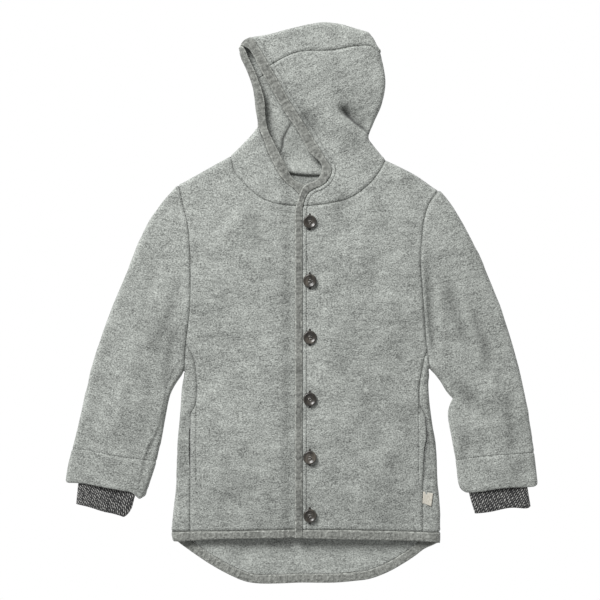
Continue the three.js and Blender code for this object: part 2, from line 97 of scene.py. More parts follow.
ROPE_SIDE = (0.13, 0.31, 0.94)
BUTTONHOLE = 23
BUTTONHOLE_WIDTH = 3.4
BUTTONHOLE_STITCHES = 61
BUTTONHOLE_RISE = 0.75
BUTTONHOLE_STITCH_RISE = 0.16
BUTTONHOLE_DEPTH = 0.6

# Label: top left, top right, bottom right, bottom left
LABEL = [(156.5, -241.5), (169.3, -243.6), (166.9, -260.4), (155.6, -256.4)]
LABEL_SIZE = (12, 17)
LABEL_CLEAR = 0.3
LABEL_THICKNESS = 0.7
LABEL_CURL = 0.7
LABEL_BOW = 0.25

# Knit cuffs: left and right edges, free end, and the slant of the light dashes
CUFF_FOLD = 4.4
CUFF_FLOOR = 2.8
CUFF_LOFT = 1.2
CUFF_LOFT_REACH = 21
CUFF_LENGTH = 58
CUFF_WAVE = (0.35, 13, 8)
CUFF_END_ROUNDING = 0.25
CUFF_END_WIDTH = 1.6
CUFF_SAMPLED_TO = 0.985
UNDERSIDE_RIB = 0.4
CUFF_ACROSS = 131
CUFF_DOWN = 60
WALE = 3
COURSE = 3.6
RIB_DEPTH = 0.7
CUFFS = {
    "left": (
        [(212, -212), (217, -245), (224.4, -270.6)],
        [(289, -212), (293, -237), (296.9, -260.6)],
        [(224.4, -270.6), (242.6, -268.4), (270, -262.9), (292.8, -263.4), (296.9, -260.6)],
        0.7),
    "right": (
        [(-288, -212), (-292, -232), (-294.7, -257.9)],
        [(-207, -212), (-218.9, -251.2), (-222.7, -264.6), (-227.9, -272.1), (-231.7, -275.1)],
        [(-294.7, -257.9), (-276.4, -262.3), (-260, -267.5), (-245, -270.9), (-231.7, -275.1)],
        -0.7),
}

# Mesh spacing
OUTLINE_STEP = 2.2
SEAM_STEP = 2.2
LATTICE_STEP = 3
COARSE_STEP = 8
FIELD_STEP = 2.5
FIELD_X = (-335, 336)
FIELD_Y = (-405, 391)
FOLD_RINGS = 7
BESIDE_LINE = (-2, -0.9, 0.9, 2)
BESIDE_ROOM = 0.7
LATTICE_X = (-320, 321)
LATTICE_Y = (-366, 372)
BESIDE_RIM_ROOM = 0.5
LATTICE_ROOM = 3
LATTICE_RIM_ROOM = 1.5
ROOM_REACH = 12
SEGMENTS_AT_ONCE = 16
UNEVEN_REACH = 450

# The outline from above, anticlockwise: name, is it an open end, points
OUTLINE = [
    ("tail", True, [(-168, -390), (179, -390)]),
    ("side left", False, [
        (179, -390), (179, -306), (179, -266), (176, -232), (174, -195), (172, -175), (168, -147),
        (165, -122), (164, -100), (165, -83)]),
    ("sleeve left, underarm", False, [(165, -83), (169, -85), (178, -96), (187, -110), (196, -121)]),
    ("sleeve left, inner", False, [
        (196, -121), (193, -127), (190, -137), (190, -147), (195, -175), (200, -205), (204, -235),
        (213, -263)]),
    ("sleeve left, end", True, [(213, -263), (309, -257)]),
    ("sleeve left, outer", False, [
        (309, -257), (306, -232), (299, -175), (285, -97), (263, -19), (232, 59), (206, 111), (188, 138),
        (179, 148), (172, 152)]),
    ("shoulder left", False, [(172, 152), (148, 169), (127, 180), (108, 189)]),
    ("hood, back", False, [
        (108, 189), (99, 200), (91, 210), (86, 218), (92, 236), (100, 254), (106, 273), (108, 292),
        (105, 313), (102, 325), (102, 331), (98, 337), (93, 347), (86, 356)]),
    ("hood, top", False, [
        (86, 356), (65, 362), (45, 367), (28, 369), (13, 367), (-8, 362), (-28, 357), (-49, 352),
        (-68, 349), (-77, 344), (-83, 335)]),
    ("hood, mouth", False, [
        (-83, 335), (-82, 330), (-79, 320), (-75, 312), (-67, 292), (-62, 272), (-60, 252), (-58, 236),
        (-60, 230), (-73, 215), (-94, 194)]),
    ("shoulder right", False, [(-94, 194), (-162, 156)]),
    ("sleeve right, outer", False, [
        (-162, 156), (-180, 137), (-198, 111), (-211, 85), (-227, 46), (-249, -6), (-267, -58),
        (-281, -110), (-293, -162), (-306, -214), (-310, -250)]),
    ("sleeve right, end", True, [(-310, -250), (-211, -274)]),
    ("sleeve right, inner", False, [
        (-211, -274), (-202, -240), (-190, -201), (-184, -175), (-179, -147), (-175, -126), (-172, -115),
        (-166, -103), (-159, -92), (-154, -86)]),
    ("side right", False, [
        (-154, -86), (-155, -95), (-157, -111), (-159, -136), (-162, -174), (-163, -205), (-165, -240),
        (-168, -266), (-170, -293), (-168, -311), (-168, -390)]),
]

# Seams and edges, each carried on past the cloth at both ends
SEAMS = {
    "armhole_left": [
        (200, 420), (181, 160), (175, 148), (164, 131), (158, 112), (155, 89), (153, 59), (155, 27),
        (158, -8), (161, -51), (165, -79), (167, -91), (176, -110), (180, -140), (184, -170), (188, -210),
        (192, -240), (196, -290), (200, -420)],
    "armhole_right": [
        (-190, 420), (-168, 166), (-161, 155), (-155, 129), (-149, 106), (-146, 72), (-145, 27),
        (-147, -12), (-151, -47), (-153, -69), (-154, -86), (-160, -105), (-168, -149), (-175, -201),
        (-183, -240), (-189, -274), (-195, -420)],
    "side_left": [
        (300, 300), (178, -44), (161, -62), (155, -85), (152, -105), (152, -125), (154, -133),
        (159, -141), (161, -155), (162, -172), (159, -187), (158, -205), (157, -225), (156, -253),
        (156, -293), (156, -420)],
    "side_right": [
        (-300, 320), (-168, -34), (-151, -52), (-142, -68), (-138, -90), (-138, -120), (-140, -131),
        (-145, -140), (-146, -155), (-146, -210), (-146, -253), (-146, -420)],
    "neck_front": [
        (-250, 330), (-97, 197), (-94, 194), (-88, 174), (-75, 158), (-53, 139), (-28, 131), (3, 129),
        (33, 132), (60, 139), (83, 154), (100, 174), (108, 189), (111, 192), (260, 330)],
    "neck_back": [
        (-250, 330), (-98, 198), (-94, 194), (-75, 188), (-49, 179), (-6, 170), (29, 169), (62, 175),
        (85, 180), (108, 189), (112, 193), (260, 330)],
    "hem_seam": [(-420, -296), (-179, -294), (-103, -293), (-11, -291), (88, -292), (180, -295), (420, -298)],
    "hem_edge": [
        (-420, -310), (-179, -307), (-86, -303), (-11, -302), (62, -304), (114, -305), (179, -307.5),
        (420, -312)],
    "tail_edge": [
        (-420, -294), (-190, -298), (-171, -303), (-157, -313), (-140, -325), (-122, -337), (-99, -350),
        (-76, -360), (-58, -363), (-28, -363), (-5, -362), (42, -362), (66, -360), (88, -357),
        (112, -348), (135, -335), (147, -327), (159, -318), (170, -313), (182, -308), (192, -306),
        (420, -302)],
    "near_edge": [
        (-115, 450), (-96, 356), (-81, 339), (-69, 332), (-57, 310), (-41, 282), (-23, 251), (-6, 226),
        (8, 200), (25, 181), (20, 165), (2, 155), (-6, 138), (-10, 122), (-10, 100), (-10, -420)],
    "near_seam": [
        (-95, 450), (-74, 362), (-64, 347), (-49, 323), (-31, 291), (-14, 261), (10, 224), (29, 192),
        (38, 176), (30, 159), (8, 146), (1, 129), (0, 111), (0, 90), (0, -420)],
    "far_edge": [
        (-135, 450), (-92, 345), (-77, 336), (-70, 322), (-63, 307), (-57, 292), (-50, 270), (-46, 233),
        (-34, 206), (-21, 181), (-12, 165), (5, 154), (17, 137), (UNDERLAP_EDGE, 115),
        (UNDERLAP_EDGE, 90), (UNDERLAP_EDGE, -420)],
    "far_seam": [
        (-130, 450), (-110, 330), (-92, 300), (-78, 262), (-66, 240), (-57, 230), (-44, 197), (-27, 165),
        (-6, 146), (5, 131), (UNDERLAP_SEAM, 110), (UNDERLAP_SEAM, 90), (UNDERLAP_SEAM, -420)],
    "gusset_seam": [
        (-400, 120), (-60, 301), (-40, 313), (-15, 326), (3, 330), (38, 331), (70, 337), (88, 337),
        (102, 328), (125, 312), (420, 200)],
    "sleeve_hem_left": [
        (100, -228), (198, -231), (204, -236), (209, -242), (216, -243), (230, -242), (252, -238),
        (270, -236), (288, -236), (301, -235), (306, -233), (312, -227), (330, -224)],
    "sleeve_hem_right": [
        (-340, -226), (-307, -230), (-286, -231), (-261, -235), (-235, -240), (-222, -243), (-217, -247),
        (-212, -251), (-207, -250), (-203, -245), (-201, -240), (-195, -238), (-100, -236)],
}
GUSSET_UNDERSIDE = [
    (-110, 282), (-60, 296), (-40, 307), (-15, 320), (3, 325), (20, 325), (34, 312), (38, 287), (36, 248),
    (33, 209), (32, 140)]

# Stitch lines, creases and folds that the frame doesn't cut
DETAILS = {
    "pocket_stitch_left": [(153, -97), (152, -112), (151, -140), (151, -180), (151, -233)],
    "pocket_stitch_right": [(-138, -129), (-138, -160), (-138, -227)],
    "sleeve_stitch_left": [(180, -201), (205, -200), (218, -198), (252, -194), (288, -192), (320, -189)],
    "sleeve_stitch_right": [
        (-330, -183), (-307, -186), (-286, -187), (-261, -191), (-235, -196), (-180, -204)],
    "underarm_right": [
        (-151, -60), (-154, -66), (-164, -76), (-170, -86), (-174, -94), (-176, -98), (-180, -121),
        (-188, -157), (-204, -192), (-215, -240)],
    "nape": [(51, 255), (56, 249), (67, 237), (80, 227), (92, 217)],
    "hood_fold": [(-13, 240), (-15.7, 234.9), (-20.8, 226.6), (-25, 216.7), (-25.7, 208.4), (-29, 198)],
}
STITCHES = {
    "near_stitch": ("front_left", "hood_left", "hood_centre"),
    "pocket_stitch_left": ("front_left",),
    "pocket_stitch_right": ("front_right",),
    "sleeve_stitch_left": ("sleeve_left",),
    "sleeve_stitch_right": ("sleeve_right",),
}
# Sharp creases in the top layer: rise, half-width across the crease, and the way that it runs
CREASES = [
    (-4, 5, [(163, 44), (166, 0), (172, -64)]),
    (2.2, 6, [(176, 30), (183, -30)]),
    (-3.6, 7, [(188, 30), (204, -20), (218, -62)]),
    (-2.6, 8, [(222, 0), (238, -50), (246, -90)]),
    (1.6, 7, [(204, 20), (224, -40)]),
    (-3.4, 7, [(196, -100), (218, -121), (242, -146)]),
    (-2.2, 8, [(206, -160), (216, -190)]),
    (-2.4, 8, [(268, -120), (276, -190)]),
    (1.8, 6, [(207, -95), (228, -108), (248, -128)]),
    (-4.5, 4, [(50, 256), (56, 250), (62, 243)]),
    (-2.5, 8, [(58, 254), (70, 242), (84, 230)]),
    (3.2, 7, [(44, 240), (58, 229), (74, 212)]),
    (-5, 9, [(0, 252), (8, 238), (20, 216)]),
    (1.8, 9, [(28, 244), (42, 222)]),
    (-2.8, 6, [(-164, -20), (-172, -70), (-178, -112)]),
    (-2, 7, [(-158, 34), (-170, -10), (-190, -60)]),
    (-2, 7, [(-186, 60), (-200, 20), (-207, -30)]),
    (1.8, 9, [(-218, -60), (-236, -130), (-240, -180)]),
    (-1.8, 10, [(-258, -110), (-276, -180)]),
    (-2, 9, [(60, 150), (50, 120), (46, 84)]),
    (-2, 9, [(-60, 130), (-58, 100), (-48, 60)]),
    (1.6, 12, [(-104, 100), (-92, 30)]),
    (1.8, 12, [(24, -150), (44, -240)]),
    (-1.8, 12, [(84, -110), (96, -190)]),
    (-1.8, 12, [(-96, -190), (-84, -270)]),
    (-1.6, 10, [(60, 300), (20, 290)]),
]
# Steps in the top layer: rise on the left-hand side of the line, how far it reaches, the line
STEPS = [
    (-1.3, 14, "underarm_right"),
    (-4.5, 9, "nape"),
]

# Soft folds in the top layer: rise, half-width across the fold, and the way that it runs
FOLDS = [
    (-2.2, 17, [(-127, 118), (-104, 60), (-81, -6)]),
    (1.8, 14, [(-75, 118), (-53, 66)]),
    (2, 16, [(-133, 7), (-101, -71)]),
    (-1.5, 18, [(-88, -118), (-70, -150)]),
    (1.8, 18, [(-38, -84), (-29, -201)]),
    (1.5, 12, [(-127, -123), (-121, -175)]),
    (2, 20, [(90, 124), (62, 59), (42, -58)]),
    (1.2, 16, [(49, -130), (52, -150)]),
    (1.6, 16, [(105, -194), (75, -279)]),
    (-1.6, 14, [(134, -38), (128, -85)]),
    (-2, 14, [(-161, 22), (-185, -51), (-192, -123)]),
    (1.5, 14, [(-266, -140), (-274, -190)]),
    (-2, 11, [(160, 46), (168, -45)]),
    (-2.4, 12, [(203, -133), (231, -103), (240, -71)]),
    (-1.5, 14, [(227, -195), (230, -210)]),
    (-1.5, 20, [(12, 245), (20, 225)]),
    (-3, 8, [(56, 252), (66, 243), (84, 228)]),
    (1.2, 9, [(58, 232), (80, 212)]),
]
# Free edges of the top layer that sag towards the layer below: drop, reach, line
SAGS = [
    (8, 60, [(-140, -303), (-11, -302), (150, -305)]),
    (6, 30, [(-64, 322), (-41, 282), (-6, 226), (20, 186)]),
]


def smooth(points, step):
    """A centripetal Catmull-Rom line through the points, sampled at even steps."""
    p = np.array(points, float)
    p = np.vstack([2 * p[0] - p[1], p, 2 * p[-1] - p[-2]])
    t = np.linspace(0, 1, 25)[:-1, None]
    out = []
    for i in range(1, len(p) - 2):
        a, b, c, d = p[i - 1 : i + 3]
        u, v, w = (np.linalg.norm(y - x) ** 0.5 for x, y in ((a, b), (b, c), (c, d)))
        start = ((b - a) / u - (c - a) / (u + v) + (c - b) / v) * v
        end = ((c - b) / v - (d - b) / (v + w) + (d - c) / w) * v
        square = (3 * (c - b) - 2 * start - end) * t**2
        cube = (2 * (b - c) + start + end) * t**3
        out.append(b + start * t + square + cube)
    line = np.vstack([*out, p[-2:-1]])
    along = arc(line)
    count = max(1, round(along[-1] / step))
    even = np.linspace(0, along[-1], count + 1)
    return np.column_stack([np.interp(even, along, line[:, k]) for k in (0, 1)])


def arc(line):
    """Length along the line at each of its points."""
    return np.concatenate([[0], np.cumsum(np.linalg.norm(np.diff(line, axis=0), axis=1))])


def offset(line, distance):
    """The line moved to its left-hand side."""
    way = np.gradient(line, axis=0)
    way /= np.linalg.norm(way, axis=1, keepdims=True)
    return line + distance * np.column_stack([-way[:, 1], way[:, 0]])


def nearest(points, line, reach=None):
    """Each point's distance to the line, the length along the line there, and the side that it is on."""
    best = np.full(len(points), np.inf)
    where = np.zeros(len(points))
    side = np.zeros(len(points))
    along = arc(line)
    for first in range(0, len(line) - 1, SEGMENTS_AT_ONCE):
        a = line[first : min(first + SEGMENTS_AT_ONCE, len(line) - 1)]
        b = line[first + 1 : first + 1 + len(a)]
        way = b - a
        if reach is None:
            chosen = np.arange(len(points))
        else:
            low = np.minimum(a, b).min(0) - reach
            high = np.maximum(a, b).max(0) + reach
            chosen = np.nonzero(np.all((points > low) & (points < high), axis=1))[0]
        if not len(chosen):
            continue
        away = points[chosen][:, None, :] - a
        share = np.clip((away * way).sum(-1) / np.maximum((way**2).sum(-1), 1e-12), 0, 1)
        distance = np.linalg.norm(away - share[..., None] * way, axis=-1)
        k = distance.argmin(1)
        rows = np.arange(len(chosen))
        closer = distance[rows, k] < best[chosen]
        rows = rows[closer]
        k = k[closer]
        kept = chosen[closer]
        best[kept] = distance[rows, k]
        where[kept] = along[first + k] + share[rows, k] * (along[first + k + 1] - along[first + k])
        side[kept] = np.sign(way[k, 0] * away[rows, k, 1] - way[k, 1] * away[rows, k, 0])
    return best, where, side


def bell(distance, width):
    return np.exp(-((distance / width) ** 2))


def smoothstep(x, low, high):
    t = np.clip((x - low) / (high - low), 0, 1)
    return t * t * (3 - 2 * t)


class Field:
    """Values on an even grid over the jacket, read between its points."""

    def __init__(self, make):
        self.x = np.arange(*FIELD_X, FIELD_STEP)
        self.y = np.arange(*FIELD_Y, FIELD_STEP)
        grid = np.stack(np.meshgrid(self.x, self.y, indexing="ij"), -1).reshape(-1, 2)
        self.values = make(grid).reshape(len(self.x), len(self.y))

    def __call__(self, points):
        u = np.clip((points[:, 0] - self.x[0]) / FIELD_STEP, 0, len(self.x) - 1.001)
        v = np.clip((points[:, 1] - self.y[0]) / FIELD_STEP, 0, len(self.y) - 1.001)
        i = u.astype(int)
        j = v.astype(int)
        u = u - i
        v = v - j
        at = self.values
        low = at[i, j] * (1 - u) + at[i + 1, j] * u
        high = at[i, j + 1] * (1 - u) + at[i + 1, j + 1] * u
        return low * (1 - v) + high * v


def loft_over(points):
    """How far the top layer stands above the top of its edge folds."""
    total = np.zeros(len(points))
    for _, is_open, run in OUTLINE:
        if not is_open:
            total += np.maximum(nearest(points, smooth(run, COARSE_STEP))[0], 1) ** -3
    inside = np.maximum(total ** (-1 / 3) - FOLD_RADIUS, 0)
    relief = np.zeros(len(points))
    for rise, width, way in FOLDS:
        relief += rise * bell(nearest(points, np.array(way, float))[0], width)
    for drop, width, way in SAGS:
        relief -= drop * bell(nearest(points, np.array(way, float))[0], width)
    return LOFT * (1 - bell(inside, LOFT_REACH)) + relief * (1 - bell(inside, EDGE_REACH))


loft = Field(loft_over)
outline = np.vstack([smooth(run, OUTLINE_STEP)[:-1] for _, _, run in OUTLINE])
outline_closed = np.vstack([outline, outline[:1]])
lines = {name: smooth(points, SEAM_STEP) for name, points in SEAMS.items()}
lines["gusset_underside"] = smooth(GUSSET_UNDERSIDE, SEAM_STEP)
lines["tail_seam"] = offset(lines["tail_edge"], TAIL_BAND)
lines["near_stitch"] = offset(lines["near_seam"], STITCH_INSET)
lines.update({name: smooth(points, SEAM_STEP) for name, points in DETAILS.items()})


def fold_height(distance):
    """Height of the round fold above its middle, from the distance to the outline."""
    depth = np.clip(FOLD_RADIUS - distance, 0, FOLD_RADIUS)
    return np.sqrt(FOLD_RADIUS**2 - depth**2)


def top_height(points):
    distance = nearest(points, outline_closed, FOLD_RADIUS + 1)[0]
    return FOLD_RADIUS + fold_height(distance) + loft(points)


def inwards(line):
    way = np.roll(line, -1, axis=0) - line
    way /= np.linalg.norm(way, axis=1, keepdims=True)
    before = np.roll(way, 1, axis=0)
    normal = np.column_stack([-way[:, 1] - before[:, 1], way[:, 0] + before[:, 0]])
    return normal / np.linalg.norm(normal, axis=1, keepdims=True)


def is_inside(points, polygon):
    x, y = points.T
    inside = np.zeros(len(points), bool)
    for a, b in zip(polygon, np.roll(polygon, 1, axis=0)):
        if a[1] != b[1]:
            crosses = (a[1] > y) != (b[1] > y)
            inside ^= crosses & (x < (b[0] - a[0]) * (y - a[1]) / (b[1] - a[1]) + a[0])
    return inside


def anticlockwise(points, parts):
    """The triangles, all with their faces up."""
    a, b, c = points[parts].transpose(1, 0, 2)
    clockwise = (b[:, 0] - a[:, 0]) * (c[:, 1] - a[:, 1]) - (b[:, 1] - a[:, 1]) * (c[:, 0] - a[:, 0]) < 0
    return np.where(clockwise[:, None], parts[:, ::-1], parts)


def make_plan():
    """Points and triangles of the cloth seen from above, with every seam along their edges."""
    n = len(outline)
    points = [outline]
    edges = [(i, (i + 1) % n) for i in range(n)]
    inward = inwards(outline)
    for ring in range(1, FOLD_RINGS + 1):
        depth = FOLD_RADIUS * (1 - math.cos(math.pi / 2 * ring / FOLD_RINGS))
        points.append(outline + inward * depth)
    beside = []
    for line in lines.values():
        inside = is_inside(line, outline)
        keep = inside.copy()
        keep[1:] |= inside[:-1]
        keep[:-1] |= inside[1:]
        index = sum(len(p) for p in points) + np.cumsum(keep) - 1
        joined = np.nonzero(keep[:-1] & keep[1:])[0]
        edges += [(int(index[i]), int(index[i + 1])) for i in joined]
        points.append(line[keep])
        beside += [offset(line, gap)[inside] for gap in BESIDE_LINE]
    xs = np.arange(*LATTICE_X, LATTICE_STEP)
    ys = np.arange(*LATTICE_Y, LATTICE_STEP * math.sin(math.pi / 3))
    lattice = np.stack(np.meshgrid(xs, ys, indexing="ij"), -1)
    lattice[:, ::2, 0] += LATTICE_STEP / 2
    lattice = lattice.reshape(-1, 2)
    beside = np.vstack(beside)
    beside_clear = nearest(beside, outline_closed, ROOM_REACH)[0] > FOLD_RADIUS + BESIDE_RIM_ROOM
    lattice_clear = nearest(lattice, outline_closed, ROOM_REACH)[0] > FOLD_RADIUS + LATTICE_RIM_ROOM
    for line in lines.values():
        beside_clear &= nearest(beside, line, ROOM_REACH)[0] > BESIDE_ROOM
        lattice_clear &= nearest(lattice, line, ROOM_REACH)[0] > LATTICE_ROOM
    flat = np.vstack([*points, beside[beside_clear], lattice[lattice_clear]])
    found = delaunay_2d_cdt([Vector(p) for p in flat], edges, [], 1, 1e-5, False)
    return np.array([tuple(p) for p in found[0]]), np.array(found[2])


plan, triangles = make_plan()
triangles = anticlockwise(plan, triangles)
triangles = triangles[is_inside(plan[triangles].mean(1), outline)]
centres = plan[triangles].mean(1)
rim = nearest(plan, outline_closed, FOLD_RADIUS + 1)[0]
is_outline = rim < 1e-3
count = len(plan)


def x_side(name):
    """For each triangle, how far right of the line it lies."""
    line = lines[name][np.argsort(lines[name][:, 1])]
    return centres[:, 0] - np.interp(centres[:, 1], line[:, 1], line[:, 0])


def y_side(name):
    """For each triangle, how far above the line it lies."""
    line = lines[name][np.argsort(lines[name][:, 0])]
    return centres[:, 1] - np.interp(centres[:, 0], line[:, 0], line[:, 1])


right_of = {name: x_side(name) > 0 for name in (
    "armhole_left", "armhole_right", "side_left", "side_right", "near_edge", "near_seam", "far_edge",
    "far_seam")}
above = {name: y_side(name) > 0 for name in (
    "neck_front", "neck_back", "hem_seam", "hem_edge", "tail_edge", "tail_seam", "sleeve_hem_left",
    "sleeve_hem_right", "gusset_seam")}
past_gusset = [(400, 140), (400, 500), (-110, 500)]
gusset_side = is_inside(centres, np.vstack([lines["gusset_underside"], past_gusset]))

# The parts of each layer, as triangles of the plan
sleeve_left = right_of["armhole_left"] & above["sleeve_hem_left"]
sleeve_right = ~right_of["armhole_right"] & above["sleeve_hem_right"]
body = ~right_of["armhole_left"] & right_of["armhole_right"]
near_cloth = right_of["near_seam"]
far_cloth = ~right_of["far_seam"]
band = above["hem_edge"] & ~above["hem_seam"]
between = body & ~above["neck_front"] & above["hem_seam"]
side_strips = between & (right_of["side_left"] | ~right_of["side_right"])
front = between & ~side_strips
TOP = {
    "sleeve_left": sleeve_left,
    "sleeve_right": sleeve_right,
    "back": side_strips,
    "front_left": front & near_cloth,
    "front_right": front & far_cloth,
    "hood_left": near_cloth & above["neck_front"] & ~above["gusset_seam"],
    "hood_centre": near_cloth & above["gusset_seam"],
    "hood_right": far_cloth & above["neck_front"],
    "binding_left": right_of["near_edge"] & ~right_of["near_seam"] & above["hem_edge"],
    "binding_right": ~right_of["far_edge"] & right_of["far_seam"] & above["hem_edge"],
    "hem_left": near_cloth & band & body,
    "hem_right": far_cloth & band & body,
}
BOTTOM = {
    "sleeve_left": sleeve_left,
    "sleeve_right": sleeve_right,
    "back": body & ~above["neck_back"] & above["tail_seam"],
    "hood_centre": above["neck_back"] & gusset_side,
    "hood_right": above["neck_back"] & ~gusset_side,
    "hem_back": body & above["tail_edge"] & ~above["tail_seam"],
}
UNDER = ("front_right", "hood_right", "binding_right", "hem_right")

# The skin's points: the top layer, then the bottom one, which share the outline
drop = UNDERLAP_DROP * smoothstep(plan[:, 0], UNDERLAP_FROM, UNDERLAP_FULL)
over_z = FOLD_RADIUS + fold_height(rim) + np.where(is_outline, 0, loft(plan))
under_z = over_z - np.where(is_outline, 0, drop)
bottom_z = FOLD_RADIUS - fold_height(rim)
bottom_index = np.where(is_outline, np.arange(count), np.arange(count) + count)


def skin_of(top_z):
    """The skin's points and its normals, with that height of the top layer."""
    points = np.vstack([np.column_stack([plan, top_z]), np.column_stack([plan, bottom_z])])
    faces = np.vstack([triangles, bottom_index[triangles][:, ::-1]])
    a, b, c = points[faces].transpose(1, 0, 2)
    face_normals = np.cross(b - a, c - a)
    normals = np.zeros_like(points)
    for corner in range(3):
        np.add.at(normals, faces[:, corner], face_normals)
    length = np.linalg.norm(normals, axis=1, keepdims=True)
    return points, normals / np.maximum(length, 1e-12)


SKINS = {"over": skin_of(over_z), "under": skin_of(under_z)}


class Surface:
    """A material whose colour and small relief are made by nodes."""

    def __init__(self, name, rough, sheen=0.0, sheen_rough=0.5):
        self.material = bpy.data.materials.new(name)
        self.material.use_nodes = True
        self.tree = self.material.node_tree
        self.shader = self.tree.nodes["Principled BSDF"]
        self.set("Roughness", rough)
        self.set("Sheen Weight", sheen)
        self.set("Sheen Roughness", sheen_rough)

    def set(self, socket, value):
        self.shader.inputs[socket].default_value = value

    def link(self, socket, value):
        self.tree.links.new(value, self.shader.inputs[socket])

    def node(self, kind, inputs):
        """A new node, each of its inputs a value or another node's output."""
        made = self.tree.nodes.new(kind)
        for socket, value in inputs.items():
            if isinstance(value, bpy.types.NodeSocket):
                self.tree.links.new(value, made.inputs[socket])
            else:
                made.inputs[socket].default_value = value
        return made

    def attribute(self, name):
        made = self.node("ShaderNodeAttribute", {})
        made.attribute_name = name
        return made.outputs["Vector"]

    def split(self, vector):
        made = self.node("ShaderNodeSeparateXYZ", {"Vector": vector})
        return made.outputs["X"], made.outputs["Y"], made.outputs["Z"]

    def noise(self, vector, scale, detail=2, rough=0.5, stretch=(1, 1, 1)):
        placed = self.node("ShaderNodeMapping", {"Vector": vector, "Scale": stretch}).outputs["Vector"]
        inputs = {"Vector": placed, "Scale": scale, "Detail": detail, "Roughness": rough}
        return self.node("ShaderNodeTexNoise", inputs).outputs["Fac"]

    def math(self, operation, *values):
        made = self.node("ShaderNodeMath", dict(enumerate(values)))
        made.operation = operation
        return made.outputs[0]

    def bell(self, distance, width):
        scaled = self.math("DIVIDE", distance, width)
        return self.math("EXPONENT", self.math("MULTIPLY", self.math("MULTIPLY", scaled, scaled), -1.0))

    def mix(self, parts):
        """The weighted sum of some textures, and the middle of its range."""
        total = 0.0
        for value, weight in parts:
            total = self.math("MULTIPLY_ADD", value, weight, total)
        return total, sum(weight for _, weight in parts) / 2

    def ramp(self, factor, stops):
        made = self.node("ShaderNodeValToRGB", {"Fac": factor})
        elements = made.color_ramp.elements
        while len(elements) < len(stops):
            elements.new(0.5)
        for element, (place, colour) in zip(elements, stops):
            element.position = place
            element.color = (*colour, 1)
        return made.outputs["Color"]

    def melange(self, parts, shades, spread, warm=0.0):
        """Dark, middle and light yarn, mixed by the textures."""
        mixed, middle = self.mix(parts)
        places = (middle - spread, middle, middle + spread)
        return self.ramp(mixed, [(place, grey(shade, warm)) for place, shade in zip(places, shades)])

    def shaded(self, colour, factor):
        made = self.node("ShaderNodeVectorMath", {0: colour})
        made.operation = "SCALE"
        self.tree.links.new(factor, made.inputs["Scale"])
        return made.outputs[0]

    def bump(self, height, distance, strength, below=None):
        inputs = {"Height": height, "Distance": distance, "Strength": strength}
        if below is not None:
            inputs["Normal"] = below
        return self.node("ShaderNodeBump", inputs).outputs["Normal"]


def grey(level, warm=0.0):
    """A near-grey linear colour: a touch of green, as the melange has, or warmer."""
    return (level * (0.963 + warm), level * 1.01, level * (0.947 - warm))


def turns_a_metre(length):
    """The factor that makes one turn of a sine out of that length in millimetres."""
    return 2 * math.pi / (length * MM)


def wool_material(name, shades):
    """Felted melange with clumps of fibre along the grain, sunk stitches, and shade painted into stitches,
    seams and creases.
    """
    made = Surface(name, 0.95, 0.25, 0.45)
    grain = made.attribute("grain")
    speck = made.noise(grain, WOOL_SPECKS, detail=1, stretch=(0.85, 1, 1))
    clump = made.noise(grain, WOOL_CLUMPS, stretch=(0.3, 1, 1))
    cloud = made.noise(grain, WOOL_CLOUDS, detail=3, rough=0.55, stretch=(0.8, 1, 1))
    colour = made.melange([(speck, 0.7), (clump, 0.2), (cloud, 0.24)], shades, WOOL_SPREAD)
    across, along, to_seam = made.split(made.attribute("stitch"))
    wave = made.math("SINE", made.math("MULTIPLY", along, turns_a_metre(STITCH_LENGTH)))
    dash = made.math("MULTIPLY_ADD", wave, 0.3, 0.7)
    # Painted shade: the sunk stitch line, the seams and the creases darken the base colour
    sunk = made.math("MULTIPLY", made.bell(across, STITCH_WIDTH * MM), dash)
    shade = made.math("MULTIPLY_ADD", sunk, -STITCH_SHADE, 1.0)
    shade = made.math("MULTIPLY_ADD", made.bell(to_seam, SEAM_SHADE_WIDTH * MM), -SEAM_SHADE, shade)
    painted_shade, _, _ = made.split(made.attribute("shadow"))
    made.link("Base Color", made.shaded(colour, made.math("SUBTRACT", shade, painted_shade)))
    hair = made.noise(grain, WOOL_HAIRS, detail=3, rough=0.6, stretch=(0.5, 1, 1))
    lumps = made.bump(clump, 0.0012, 0.6)
    coarse = made.bump(speck, 0.001, 0.8, lumps)
    felt = made.bump(hair, 0.0004, 0.6, coarse)
    made.link("Normal", made.bump(made.math("MULTIPLY", sunk, -1.0), 0.0006, 0.9, felt))
    return made.material


def jersey_material(name, shades, rib_depth, edge_highlight):
    """Ribbed knit along a band, with a painted highlight just inside both of the band's edges."""
    made = Surface(name, 0.92, 0.2, 0.5)
    strip = made.attribute("strip")
    speck = made.noise(made.attribute("grain"), JERSEY_SPECKS, rough=0.6)
    ribs = made.noise(strip, JERSEY_RIBS, stretch=(1, 0.1, 1))
    colour = made.melange([(speck, 0.45), (ribs, 0.55)], shades, JERSEY_SPREAD, warm=0.015)
    _, _, from_edge = made.split(strip)
    # Painted highlight: a light line just inside the band's edges
    turned = made.bell(from_edge, 0.9 * MM)
    made.link("Base Color", made.shaded(colour, made.math("MULTIPLY_ADD", turned, edge_highlight, 1.0)))
    made.link("Normal", made.bump(speck, 0.0007, 0.7, made.bump(ribs, rib_depth, 0.9)))
    return made.material


